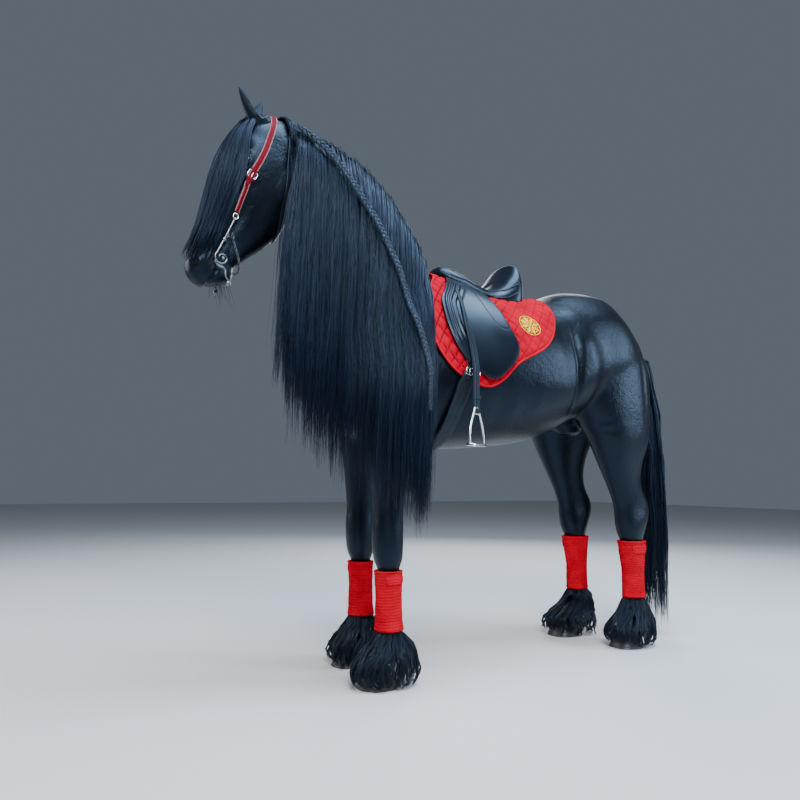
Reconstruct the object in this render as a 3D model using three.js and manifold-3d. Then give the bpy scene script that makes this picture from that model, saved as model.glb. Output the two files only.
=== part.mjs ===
// A Friesian stallion at life size, standing square, in saddle, bridle and leg wraps.
// Millimetres, +Z up, nose towards -X, the horse's left side towards -Y, hooves on Z = 0.
import * as THREE from "three";
import { mergeVertices } from "three/addons/utils/BufferGeometryUtils.js";
import Module from "manifold-3d";

const wasm = await Module();
wasm.setup();

// Driving sizes
const WITHERS_TOP = 1596;
const GAP = 0.3;
// The grid that every corner sits on
const GRAIN = 1 / 512;
const HALF_TRACK = 160;
const WRAP_THICKNESS = 16;
const STRAP_THICKNESS = 5;
const SEAM_FORE = 960;
const SEAM_HIND = 1120;
const FAR = 4000;

// Where each leg stands: x of the cannon, x of the hoof's middle
const LEGS = {
  fore_left: { side: -1, cannon: -612, hoof: -652 },
  fore_right: { side: 1, cannon: -556, hoof: -596 },
  hind_left: { side: -1, cannon: 692, hoof: 640 },
  hind_right: { side: 1, cannon: 662, hoof: 566 },
};

// The coat, leather and metal
const paint = (color, roughness, metalness = 0) =>
  new THREE.MeshStandardMaterial({ color, roughness, metalness });
const COAT = paint(0x0b0d12, 0.35);
const HAIR = paint(0x0d1118, 0.45);
const HORN = paint(0x24262b, 0.5);
const EYE_DARK = paint(0x120b08, 0.08);
const WRAP_RED = paint(0xc8102a, 0.9);
const PAD_RED = paint(0xd0122e, 0.9);
const LEATHER = paint(0x14161b, 0.4);
const RED_LEATHER = paint(0x9c1226, 0.45);
const STEEL = paint(0xc9ccd0, 0.2, 1);

// Random numbers from a fixed seed
function seeded(seed) {
  let state = seed >>> 0;
  return () => {
    state = (state * 1664525 + 1013904223) >>> 0;
    return state / 4294967296;
  };
}

const lerp = (a, b, t) => a + (b - a) * t;
const clamp = (x, low, high) => Math.min(high, Math.max(low, x));

// A Catmull-Rom value through a list of rows, at t from 0 to 1
function through(rows, t) {
  const place = clamp(t, 0, 1) * (rows.length - 1);
  const i = Math.min(rows.length - 2, Math.floor(place));
  const f = place - i;
  const [p, q, r, s] = [i - 1, i, i + 1, i + 2].map(
    (k) => rows[clamp(k, 0, rows.length - 1)],
  );
  return q.map(
    (_, k) =>
      q[k] +
      0.5 * f * (r[k] - p[k] +
        f * (2 * p[k] - 5 * q[k] + 4 * r[k] - s[k] +
          f * (3 * (q[k] - r[k]) + s[k] - p[k]))),
  );
}

// Rows of x positions turned into a value at any x
function along(rows, x) {
  let i = 0;
  while (i < rows.length - 2 && x > rows[i + 1][0]) i++;
  const [a, b] = [rows[i], rows[i + 1]];
  return lerp(a[1], b[1], clamp((x - a[0]) / (b[0] - a[0]), 0, 1));
}

// One section: it runs from a to b in side view, is widest at the share `wide` of the way,
// and na and nb square it off towards a and b.
// row = [ax, az, bx, bz, half width, y of the middle, wide, na, nb]
function ring(row, count, grow = 0) {
  const [ax, az, bx, bz, half, y, wide, na, nb] = row;
  const a = new THREE.Vector3(ax, y, az);
  const b = new THREE.Vector3(bx, y, bz);
  const out = a.clone().sub(b);
  const length = out.length();
  out.normalize();
  const middle = a.clone().addScaledVector(out, -length * wide);
  const points = [];
  for (let i = 0; i < count; i++) {
    const angle = (2 * Math.PI * i) / count;
    const [c, s] = [Math.cos(angle), Math.sin(angle)];
    const reach = (c >= 0 ? length * wide : length * (1 - wide)) + grow;
    const power = 2 / (c >= 0 ? na : nb);
    points.push(
      middle
        .clone()
        .addScaledVector(out, Math.sign(c) * Math.pow(Math.abs(c), power) * reach)
        .add(new THREE.Vector3(
          0, Math.sign(s) * Math.pow(Math.abs(s), power) * (half + grow), 0)),
    );
  }
  return points;
}

const centreOf = (points) =>
  points.reduce((sum, p) => sum.add(p), new THREE.Vector3()).divideScalar(points.length);

// A closed skin over rings with the same number of points
function skin(rings) {
  const count = rings[0].length;
  const points = rings.flat();
  const faces = [];
  for (let r = 0; r + 1 < rings.length; r++)
    for (let i = 0; i < count; i++) {
      const j = (i + 1) % count;
      const [p, q, s, t] = [r * count + i, r * count + j, (r + 1) * count + i,
        (r + 1) * count + j];
      faces.push([p, s, q], [q, s, t]);
    }
  for (const [r, turn] of [[0, 1], [rings.length - 1, -1]]) {
    points.push(centreOf(rings[r]));
    for (let i = 0; i < count; i++) {
      const [p, q] = [r * count + i, r * count + ((i + 1) % count)];
      faces.push(turn > 0 ? [points.length - 1, p, q] : [points.length - 1, q, p]);
    }
  }
  const geometry = new THREE.BufferGeometry().setFromPoints(points);
  geometry.setIndex(faces.flat());
  return geometry;
}

// A geometry as a solid that can be joined and cut
const settle = (length) => Math.round(length / GRAIN) * GRAIN;
function solid(geometry) {
  const bare = new THREE.BufferGeometry();
  bare.setAttribute("position", geometry.getAttribute("position").clone());
  if (geometry.index) bare.setIndex(geometry.index);
  const place = bare.getAttribute("position");
  for (let i = 0; i < place.array.length; i++) place.array[i] = settle(place.array[i]);
  const merged = mergeVertices(bare, 1e-3);
  const made = new wasm.Manifold(
    new wasm.Mesh({
      numProp: 3,
      vertProperties: new Float32Array(merged.attributes.position.array),
      triVerts: new Uint32Array(merged.index.array),
    }),
  );
  if (made.volume() >= 0) return made;
  const flipped = new Uint32Array(merged.index.array);
  for (let i = 0; i < flipped.length; i += 3)
    [flipped[i], flipped[i + 1]] = [flipped[i + 1], flipped[i]];
  return new wasm.Manifold(
    new wasm.Mesh({
      numProp: 3,
      vertProperties: new Float32Array(merged.attributes.position.array),
      triVerts: flipped,
    }),
  );
}

const join = (pieces) => pieces.reduce((a, b) => a.add(b));
const largest = (made) =>
  made.decompose().reduce((a, b) => (b.volume() > a.volume() ? b : a));

function boxSolid([x0, x1], [y0, y1], [z0, z1]) {
  const geometry = new THREE.BoxGeometry(x1 - x0, y1 - y0, z1 - z0);
  geometry.translate((x0 + x1) / 2, (y0 + y1) / 2, (z0 + z1) / 2);
  return solid(geometry);
}

const above = (z) => boxSolid([-FAR, FAR], [-FAR, FAR], [z, FAR]);
const below = (z) => boxSolid([-FAR, FAR], [-FAR, FAR], [-FAR, z]);

// Rings closed into a solid, its two ends pushed outward by `grow`
function capped(rings, grow) {
  const last = rings.length - 1;
  for (const [end, next] of [[0, 1], [last, last - 1]]) {
    const out = centreOf(rings[end]).sub(centreOf(rings[next])).setLength(grow);
    rings[end].forEach((p) => p.add(out));
  }
  return solid(skin(rings));
}

// A loft through rows of sections, with `steps` rings between its ends
function loft(rows, steps, count, grow = 0) {
  const rings = [];
  for (let i = 0; i <= steps; i++) rings.push(ring(through(rows, i / steps), count, grow));
  return capped(rings, grow);
}

function ball([x, y, z], [rx, ry, rz], grow = 0, across = 10, up = 7, tilt = 0) {
  const geometry = new THREE.SphereGeometry(1, across, up);
  geometry.scale(rx + grow, ry + grow, rz + grow);
  geometry.rotateY(tilt);
  geometry.translate(x, y, z);
  return solid(geometry);
}

// A side view outline carried through the horse from y0 to y1
function outline(points, [y0, y1]) {
  const curve = new THREE.CatmullRomCurve3(
    points.map(([x, z]) => new THREE.Vector3(x, z, 0)), true, "catmullrom", 0.5);
  const shape = new THREE.Shape(
    curve.getPoints(points.length * 3).slice(0, -1).map((p) => new THREE.Vector2(p.x, p.y)));
  const geometry = new THREE.ExtrudeGeometry(shape, { depth: y1 - y0, bevelEnabled: false });
  geometry.rotateX(Math.PI / 2);
  geometry.translate(0, y1, 0);
  return solid(geometry);
}

// A band of the given width along a line in side view, carried through from y0 to y1
function band(line, width, [y0, y1]) {
  const points = line.map(([x, z]) => new THREE.Vector2(x, z));
  const [left, right] = [[], []];
  points.forEach((p, i) => {
    const before = points[Math.max(0, i - 1)];
    const after = points[Math.min(points.length - 1, i + 1)];
    const way = after.clone().sub(before).normalize();
    left.push(new THREE.Vector2(p.x - way.y * width / 2, p.y + way.x * width / 2));
    right.unshift(new THREE.Vector2(p.x + way.y * width / 2, p.y - way.x * width / 2));
  });
  const geometry = new THREE.ExtrudeGeometry(new THREE.Shape([...left, ...right]),
    { depth: y1 - y0, bevelEnabled: false });
  geometry.rotateX(Math.PI / 2);
  geometry.translate(0, y1, 0);
  return solid(geometry);
}

// A tube of round section along points
function tube(points, radii, sides = 6) {
  const rings = points.map((p, i) => {
    const before = points[Math.max(0, i - 1)];
    const after = points[Math.min(points.length - 1, i + 1)];
    const way = after.clone().sub(before).normalize();
    const flat = Math.abs(way.y) > 0.9 ? new THREE.Vector3(0, 0, 1) : new THREE.Vector3(0, 1, 0);
    const u = new THREE.Vector3().crossVectors(way, flat).normalize();
    const v = new THREE.Vector3().crossVectors(way, u);
    return Array.from({ length: sides }, (_, k) => {
      const angle = (2 * Math.PI * k) / sides;
      return p.clone()
        .addScaledVector(u, Math.cos(angle) * radii[i])
        .addScaledVector(v, Math.sin(angle) * radii[i]);
    });
  });
  return solid(skin(rings));
}

// The barrel, withers and croup: upright sections from the breast to the tail
// [x, top, bottom, half width, height of the widest place, squareness above, below]
const TRUNK = [
  [-812, 1190, 1110, 34, 1150, 2.0, 2.0],
  [-790, 1285, 1020, 118, 1140, 2.0, 2.0],
  [-750, 1365, 950, 172, 1135, 2.0, 2.1],
  [-690, 1440, 900, 208, 1125, 1.9, 2.2],
  [-600, 1515, 862, 232, 1120, 1.8, 2.1],
  [-500, 1570, 850, 250, 1130, 1.7, 2.1],
  [-400, WITHERS_TOP, 850, 268, 1150, 1.6, 2.1],
  [-300, 1584, 855, 288, 1165, 1.6, 2.1],
  [-180, 1546, 863, 312, 1175, 1.8, 2.1],
  [-60, 1520, 875, 326, 1180, 2.0, 2.1],
  [90, 1532, 893, 328, 1190, 2.1, 2.1],
  [230, 1572, 935, 312, 1210, 2.1, 2.1],
  [340, 1618, 985, 292, 1250, 2.1, 2.0],
  [450, 1636, 1025, 284, 1290, 2.1, 2.0],
  [550, 1626, 1052, 280, 1310, 2.2, 2.0],
  [640, 1586, 1062, 262, 1310, 2.1, 2.0],
  [730, 1528, 1066, 224, 1300, 2.0, 2.0],
  [810, 1470, 1078, 168, 1290, 2.0, 2.0],
  [872, 1412, 1120, 112, 1280, 2.0, 2.0],
  [905, 1350, 1190, 56, 1270, 2.0, 2.0],
].map(([x, top, bottom, half, widest, na, nb]) => [
  x, top, x, bottom, half, 0, (top - widest) / (top - bottom), na, nb,
]);

// The neck: sections from the crest to the underline, from inside the chest up to the poll
const NECK = [
  [-330, 1545, -640, 1090, 150, 0, 0.6, 1.6, 2.2],
  [-392, 1690, -768, 1222, 168, 0, 0.62, 1.45, 2.2],
  [-482, 1832, -822, 1350, 152, 0, 0.6, 1.4, 2.2],
  [-602, 1962, -866, 1470, 130, 0, 0.58, 1.4, 2.2],
  [-742, 2044, -916, 1580, 112, 0, 0.55, 1.4, 2.2],
  [-880, 2078, -956, 1672, 100, 0, 0.52, 1.5, 2.2],
  [-985, 2066, -986, 1738, 90, 0, 0.5, 1.7, 2.1],
  [-1046, 2030, -1030, 1800, 74, 0, 0.5, 2.0, 2.0],
];

// The head lies along its own line: u from the poll to the lips, v out to the forehead
const POLL = new THREE.Vector2(-1062, 2066);
const HEAD_LINE = new THREE.Vector2(-0.325, -0.946).normalize();
const HEAD_OUT = new THREE.Vector2(HEAD_LINE.y, -HEAD_LINE.x);
const headPoint = (u, v) => [
  POLL.x + HEAD_LINE.x * u + HEAD_OUT.x * v,
  POLL.y + HEAD_LINE.y * u + HEAD_OUT.y * v,
];
// [u, forehead line, jaw line, half width, share of the widest place, squareness in front, behind]
const HEAD_TABLE = [
  [-18, 10, -78, 46, 0.5, 2.0, 2.0],
  [8, 46, -112, 68, 0.5, 2.1, 2.0],
  [60, 82, -150, 86, 0.42, 2.3, 2.0],
  [130, 97, -172, 97, 0.38, 2.5, 2.1],
  [200, 103, -184, 104, 0.37, 2.6, 2.2],
  [250, 103, -190, 103, 0.37, 2.6, 2.2],
  [320, 98, -190, 92, 0.4, 2.6, 2.3],
  [390, 90, -182, 82, 0.42, 2.5, 2.3],
  [450, 84, -155, 70, 0.42, 2.4, 2.2],
  [510, 80, -122, 60, 0.42, 2.3, 2.1],
  [560, 82, -92, 56, 0.42, 2.3, 2.1],
  [600, 90, -76, 58, 0.42, 2.3, 2.2],
  [642, 97, -84, 61, 0.44, 2.3, 2.3],
  [674, 82, -80, 55, 0.46, 2.2, 2.3],
  [697, 54, -56, 43, 0.48, 2.1, 2.2],
  [709, 22, -24, 22, 0.5, 2.0, 2.0],
];
const HEAD = HEAD_TABLE.map(([u, front, jaw, half, wide, na, nb]) => [
  ...headPoint(u, front), ...headPoint(u, jaw), half, 0, wide, na, nb,
]);
const EYE = { u: 236, v: 46, out: 88, radius: 20, lid: 5 };
const NOSTRIL = { u: 648, v: 74, out: 52, size: [11, 13, 19] };
const MOUTH = { line: [[716, -4], [690, -2], [650, -10], [600, -14]], open: 4, depth: 9 };
const EAR = { u: 34, v: 54, out: 50, root: 34, wide: 31, thick: 21, sides: 8 };
const EAR_TIP = { left: [-1211, 62, 2142], right: [-1079, 60, 2180] };

// A foreleg below the shoulder: [z, front, back, half width, distance from the middle]
const FORELEG = [
  [1190, -120, 130, 70, 150],
  [1080, -116, 146, 84, 160],
  [980, -104, 138, 84, 165],
  [890, -92, 100, 72, 163],
  [790, -83, 74, 65, 161],
  [690, -73, 60, 59, HALF_TRACK],
  [610, -67, 56, 56, HALF_TRACK],
  [550, -68, 54, 59, HALF_TRACK],
  [500, -68, 52, 61, HALF_TRACK],
  [440, -60, 51, 55, HALF_TRACK],
  [396, -42, 37, 38, HALF_TRACK],
  [310, -37, 36, 33, HALF_TRACK],
  [225, -37, 39, 34, HALF_TRACK],
  [172, -43, 49, 40, HALF_TRACK],
];
// A hind leg below the croup
const HINDLEG = [
  [1400, -150, 0, 40, 150],
  [1350, -250, 70, 84, 150],
  [1280, -325, 108, 112, 148],
  [1190, -338, 116, 122, 148],
  [1090, -326, 116, 124, 150],
  [1000, -290, 108, 114, 156],
  [920, -246, 92, 97, 166],
  [840, -208, 58, 78, 167],
  [760, -168, 46, 62, 166],
  [700, -138, 62, 54, 165],
  [650, -118, 96, 50, 165],
  [606, -106, 106, 51, 165],
  [560, -100, 91, 56, 165],
  [502, -86, 64, 54, 164],
  [450, -58, 50, 42, 163],
  [330, -41, 41, 34, 162],
  [235, -40, 42, 34, 162],
  [176, -46, 52, 41, 162],
];
const WRAP_HEIGHTS = { fore: [191, 404], hind: [214, 468] };
// From the fetlock down to the coronet, x from the hoof's middle
const HOOF = { toe: -78, heel: 64, half: 70, front: 90, back: 62, top_toe: -44, top_heel: 56, top_half: 55 };

function legRows(table, { side, cannon, hoof }, fore) {
  const rows = table.map(([z, front, back, half, out]) => [
    cannon + front, z, cannon + back, z, half, side * out, 0.5, 2.2, 2.2,
  ]);
  const out = side * table[table.length - 1][4];
  const slope = hoof - cannon;
  rows.push(
    [cannon - 46 + slope * 0.35, 142, cannon + 40 + slope * 0.3, 118, fore ? 37 : 38, out, 0.5, 2.2, 2.2],
    [hoof + HOOF.top_toe - 1, HOOF.front + 14, hoof + HOOF.top_heel - 12, HOOF.back + 18, 44, out, 0.5, 2.2, 2.2],
    [hoof + HOOF.top_toe, HOOF.front + GAP, hoof + HOOF.top_heel, HOOF.back + GAP, HOOF.top_half - 1, out,
      0.5, 2.2, 2.2],
  );
  return rows;
}

function hoofSolid({ side, hoof }, grow = 0) {
  const y = side * HALF_TRACK;
  const rows = [
    [hoof + HOOF.top_toe, HOOF.front, hoof + HOOF.top_heel, HOOF.back, HOOF.top_half, y, 0.5, 2.2, 2.4],
    [hoof + HOOF.toe + 8, HOOF.front * 0.24, hoof + HOOF.heel - 2, HOOF.back * 0.24, HOOF.half - 5, y,
      0.5, 2.2, 2.6],
    [hoof + HOOF.toe, 0, hoof + HOOF.heel, 0, HOOF.half, y, 0.5, 2.2, 2.6],
  ];
  return capped(rows.map((row) => ring(row, 14, grow)), grow);
}

// The flesh as solids, each grown by any amount, so that what lies on it keeps clear
const LEG_TABLE = { fore: FORELEG, hind: HINDLEG };
const kindOf = (name) => name.split("_")[0];
const isFore = (name) => kindOf(name) === "fore";
const seamOf = (name) => (isFore(name) ? SEAM_FORE : SEAM_HIND);

function legLoft(name, grow = 0) {
  const rows = legRows(LEG_TABLE[kindOf(name)], LEGS[name], isFore(name));
  return loft(rows, isFore(name) ? 15 : 18, 10, grow);
}

const trunkLoft = (grow = 0) => loft(TRUNK, 20, 18, grow);

function torsoFlesh(grow = 0) {
  const pieces = [trunkLoft(grow)];
  for (const side of [-1, 1]) {
    pieces.push(ball([-716, side * 112, 1130], [84, 84, 118], grow, 8, 6));
    pieces.push(ball([-560, side * 182, 1085], [138, 76, 168], grow, 10, 7));
  }
  pieces.push(ball([432, 0, 1010], [112, 62, 62], grow, 8, 6, 0.25));
  for (const name of Object.keys(LEGS))
    pieces.push(legLoft(name, grow).intersect(above(seamOf(name) + GAP / 2)));
  return join(pieces);
}

const neckFlesh = (grow = 0) => loft(NECK, 10, 16, grow);

function headFlesh(grow = 0) {
  const pieces = [loft(HEAD, 18, 16, grow)];
  for (const side of [-1, 1]) {
    const [x, z] = headPoint(232, -92);
    pieces.push(ball([x, side * 58, z], [84, 40, 92], grow, 8, 6));
  }
  return join(pieces);
}

const torsoShape = torsoFlesh();
const torsoClear = torsoFlesh(GAP);
const neckShape = neckFlesh();
const headShape = headFlesh();
const headClear = headFlesh(4 * GAP);
const legShapes = Object.fromEntries(Object.keys(LEGS).map((name) => [name, legLoft(name)]));
const legClear = Object.fromEntries(Object.keys(LEGS).map((name) => [name, legLoft(name, GAP)]));

function meshOf(made) {
  const m = made.getMesh();
  const geometry = new THREE.BufferGeometry();
  geometry.setAttribute("position", new THREE.BufferAttribute(new Float32Array(m.vertProperties), 3));
  geometry.setIndex(new THREE.BufferAttribute(new Uint32Array(m.triVerts), 1));
  return new THREE.Mesh(geometry, new THREE.MeshBasicMaterial({ side: THREE.DoubleSide }));
}

// How far out the body reaches at a place in side view, on the left (-1) or right (1)
const caster = new THREE.Raycaster();
function reachAt(meshes, x, z, side) {
  caster.set(new THREE.Vector3(x, side * FAR, z), new THREE.Vector3(0, -side, 0));
  const hits = caster.intersectObjects(meshes, false);
  return hits.length ? Math.max(0, FAR - hits[0].distance) : 0;
}

// Each finished node, with its name and material
const group = new THREE.Group();
function node(name, made, material) {
  const kept = largest(solid(meshOf(largest(made)).geometry));
  const mesh = meshOf(kept);
  mesh.name = name;
  mesh.material = material;
  group.add(mesh);
  return kept;
}

const LEFT = -1;
const RIGHT = 1;
const SIDES = { left: LEFT, right: RIGHT };
const beside = (side, from, to) => (side < 0 ? [-to, -from] : [from, to]);
const shell = (make, inner, outer) => make(outer).subtract(make(inner));

// Bridle: a cheek strap over the poll, a throat latch, and a curb bit with its chain
const BRIDLE = {
  cheek: [[-1052, 2140], [-1072, 2060], [-1092, 1985], [-1124, 1891], [-1174, 1781], [-1206, 1668]],
  cheekWidth: 26,
  latch: [[-1000, 2140], [-1006, 2060], [-1020, 1900], [-1034, 1700], [-1040, 1560]],
  latchWidth: 13,
  buckle: [-1163, 1806],
};
const headAndNeck = (grow) => headFlesh(grow).add(neckFlesh(grow));
const cheekBand = band(BRIDLE.cheek, BRIDLE.cheekWidth, [-200, 200]);
const cheekStrap = shell(headFlesh, GAP, STRAP_THICKNESS)
  .intersect(cheekBand)
  .subtract(neckFlesh(GAP));
const latchStrap = shell(headAndNeck, GAP, STRAP_THICKNESS)
  .intersect(band(BRIDLE.latch, BRIDLE.latchWidth, [-200, 200]));
const latchClear = shell(headAndNeck, 0, STRAP_THICKNESS + GAP)
  .intersect(band(BRIDLE.latch, BRIDLE.latchWidth + 2, [-200, 200]));

const BIT = {
  top: [-1208, 1650],
  swirl: [-1250, 1494],
  swirlRadius: 26,
  turns: 9,
  end: [-1217, 1412],
  bar: 5.5,
  out: 70,
};

function bitShank(side) {
  const y = side * BIT.out;
  const at = ([x, z]) => new THREE.Vector3(x, y, z);
  const [cx, cz] = BIT.swirl;
  const upper = [at(BIT.top), at([-1226, 1606]), at([-1246, 1560])];
  for (let i = 0; i <= BIT.turns; i++) {
    const share = i / BIT.turns;
    const turn = Math.PI * (0.72 + share * 2.2);
    const r = BIT.swirlRadius * (1 - share * 0.62);
    upper.push(at([cx + Math.cos(turn) * r, cz + Math.sin(turn) * r]));
  }
  const lower = [[-1275, 1482], [-1262, 1466], [-1240, 1458], [-1236, 1436], [-1226, 1420], BIT.end].map(at);
  const boss = ball([BIT.end[0] - 8, y, BIT.end[1] - 8], [14, 9, 14], 0, 6, 4);
  const ring = ball([BIT.top[0], y, BIT.top[1] + 2], [10, 7, 12], 0, 6, 4);
  const rough = join([
    tube(upper, upper.map(() => BIT.bar), 4),
    tube(lower, lower.map(() => BIT.bar), 4),
    boss,
    ring,
  ]);
  return rough.subtract(headClear);
}

// A chain of links laid end to end along points, as one bead-like rod
function chain(points, radius, pitch) {
  const curve = new THREE.CatmullRomCurve3(points);
  const steps = Math.round(curve.getLength() / pitch) * 2;
  const along = Array.from({ length: steps + 1 }, (_, i) => curve.getPointAt(i / steps));
  return tube(along, along.map((_, i) => radius * (i % 2 ? 1 : 0.72)), 4);
}

const CURB = [[-1218, 74, 1584], [-1204, 72, 1540], [-1186, 60, 1496], [-1176, 32, 1474], [-1173, 0, 1468]];
function curbChain() {
  const half = CURB.map(([x, y, z]) => new THREE.Vector3(x, -y, z));
  const other = CURB.slice(0, -1).reverse().map(([x, y, z]) => new THREE.Vector3(x, y, z));
  return chain([...half, ...other], 5, 20).subtract(headClear);
}

// Saddle cloth, girth, saddle, leathers and irons, in layers outward from the barrel
const LAYER = { pad: 13, girth: 20, flap: 28, leather: 34 };
const PAD = [
  [-371, 1700], [-386, 1590], [-430, 1510], [-471, 1392], [-468, 1266], [-413, 1168], [-339, 1118], [-255, 1096],
  [-190, 1130], [-121, 1200], [29, 1286], [113, 1400], [150, 1500], [150, 1700],
];
const FLAP = [
  [-300, 1590], [-370, 1500], [-408, 1440], [-412, 1330], [-386, 1240], [-338, 1172], [-250, 1122],
  [-192, 1164], [-121, 1268], [-108, 1380], [-96, 1500], [-120, 1560],
];
const GIRTH = { line: [[-330, 1160], [-352, 1110], [-376, 1010], [-386, 900], [-388, 800]], width: 64 };
const SADDLE = [
  [-330, 1604, 1560, 30, 1582],
  [-314, 1636, 1540, 54, 1580],
  [-284, 1645, 1500, 84, 1555],
  [-230, 1628, 1470, 112, 1530],
  [-165, 1592, 1440, 130, 1505],
  [-100, 1570, 1430, 138, 1495],
  [-40, 1578, 1440, 142, 1500],
  [10, 1612, 1450, 146, 1520],
  [44, 1668, 1480, 144, 1550],
  [64, 1706, 1510, 132, 1590],
  [82, 1704, 1540, 108, 1615],
  [94, 1660, 1570, 64, 1610],
].map(([x, top, bottom, half, widest]) => [
  x, top, x, bottom, half, 0, (top - widest) / (top - bottom), 2.1, 2.0,
]);
const saddleSeat = (grow = 0) => loft(SADDLE, 12, 14, grow);
const SEAT_DIP = { centre: [-112, 0, 1646], size: [120, 98, 80] };

const padOutline = (lower = 0) => outline(PAD.map(([x, z]) => [x, z - lower]), [-400, 400]);
const padShape = trunkLoft(LAYER.pad).intersect(padOutline()).subtract(torsoClear);
const onPad = trunkLoft(LAYER.pad + 2 * GAP);
const girthShape = trunkLoft(LAYER.girth)
  .intersect(band(GIRTH.line, GIRTH.width, [-400, 400]))
  .subtract(torsoClear)
  .subtract(onPad.intersect(padOutline(1)))
  .intersect(below(1152));
const seatShape = saddleSeat()
  .subtract(ball(SEAT_DIP.centre, SEAT_DIP.size, 0, 10, 8))
  .subtract(onPad)
  .subtract(torsoClear);

const KNEE_ROLL = { line: [[-392, 1480], [-402, 1390], [-392, 1300], [-376, 1230]], width: 30, height: 12 };
// The knee roll stands up from the front of the flap
function flapShape(side) {
  const sheet = shell(trunkLoft, LAYER.girth + GAP, LAYER.flap)
    .intersect(outline(FLAP, beside(side, 60, 400)));
  const roll = shell(trunkLoft, LAYER.girth + GAP, LAYER.flap + KNEE_ROLL.height)
    .intersect(band(KNEE_ROLL.line, KNEE_ROLL.width, beside(side, 100, 400)));
  return sheet.add(roll).subtract(saddleSeat(GAP)).intersect(below(1600));
}

const STIRRUP = {
  line: [[-318, 1500], [-330, 1400], [-332, 1290], [-330, 1178]],
  width: 27,
  strapEnd: 1010,
  iron: { top: 1011, height: 146, width: 112, tread: 42, bar: 11, depth: 15, turn: 0.26 },
};
const hangY = Math.max(
  ...[-20, 0, 20].map((dx) => reachAt([meshOf(trunkLoft(LAYER.leather))], STIRRUP.line[3][0] + dx, 1165, 1)),
);

function stirrupLeather(side) {
  const [x, z] = STIRRUP.line[STIRRUP.line.length - 1];
  const lying = shell(trunkLoft, LAYER.flap + GAP, LAYER.leather)
    .intersect(band(STIRRUP.line, STIRRUP.width, beside(side, 100, 400)));
  const hanging = boxSolid(
    [x - STIRRUP.width / 2, x + STIRRUP.width / 2],
    beside(side, hangY - STRAP_THICKNESS, hangY),
    [STIRRUP.strapEnd, z + 6],
  );
  return lying.add(hanging).subtract(saddleSeat(GAP));
}

function stirrupIron(side) {
  const { top, height, width, tread, bar, depth, turn } = STIRRUP.iron;
  const x = STIRRUP.line[STIRRUP.line.length - 1][0];
  const y = side * (hangY - STRAP_THICKNESS / 2);
  const placed = (geometry) => {
    geometry.rotateZ(-side * turn);
    geometry.translate(x, y, 0);
    return solid(geometry);
  };
  const arch = (w, h, low) => {
    const shape = new THREE.Shape();
    shape.moveTo(-w, low);
    shape.bezierCurveTo(-w, low + h * 0.55, -w * 0.42, low + h, 0, low + h);
    shape.bezierCurveTo(w * 0.42, low + h, w, low + h * 0.55, w, low);
    shape.closePath();
    return shape;
  };
  const cut = (shape, thick) => {
    const geometry = new THREE.ExtrudeGeometry(shape, { depth: thick, bevelEnabled: false, curveSegments: 7 });
    geometry.rotateX(Math.PI / 2);
    geometry.translate(0, thick / 2, top - height);
    return placed(geometry);
  };
  const frame = cut(arch(width / 2, height, 0), depth).subtract(
    cut(arch(width / 2 - bar, height - bar * 2.1, bar), depth * 3));
  const floor = new THREE.BoxGeometry(width + 8, tread, 12);
  floor.translate(0, 0, top - height + 2);
  const slot = new THREE.BoxGeometry(STIRRUP.width + 6, STRAP_THICKNESS + 6, 40);
  slot.translate(0, 0, STIRRUP.strapEnd - GAP + 20);
  return frame.add(placed(floor)).subtract(placed(slot));
}

// Mane: roots run along the crest from the poll to the withers, all falling on the left side
const CREST = [
  [-976, 2052], [-944, 2064], [-870, 2070], [-742, 2038], [-602, 1956], [-482, 1826],
  [-410, 1716], [-384, 1664],
];
const MANE_TIPS = [
  [-1074, 1030], [-994, 870], [-890, 745], [-790, 650], [-700, 590], [-620, 550], [-560, 520],
  [-530, 500],
];
const MANE = { locks: 9, thickness: 13, rings: 6, clear: [7, 25], half: 0.46 };
const bodyMeshes = [torsoShape, neckShape, headShape, legShapes.fore_left].map(meshOf);

// One hair's line down the left side, from the crest over the neck and straight down
function maneLine(share, clear, lift) {
  const [rx, rz] = through(CREST, share);
  const [tx, tz] = through(MANE_TIPS, share);
  const points = [new THREE.Vector3(rx, 10, rz - 24), new THREE.Vector3(rx - 4, -14, rz + 4 + clear * 0.4)];
  let reach = 0;
  for (let i = 1; i <= MANE.rings; i++) {
    const t = i / MANE.rings;
    const fall = Math.pow(t, 1.3);
    const x = lerp(rx - 4, tx, 1 - Math.pow(1 - fall, 2.2));
    const z = lerp(rz, tz + lift, fall);
    reach = Math.max(reach * 0.995, reachAt(bodyMeshes, x, z, LEFT), reachAt(bodyMeshes, x, z + 40, LEFT));
    points.push(new THREE.Vector3(x, -(reach + clear), z));
  }
  return points;
}

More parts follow.
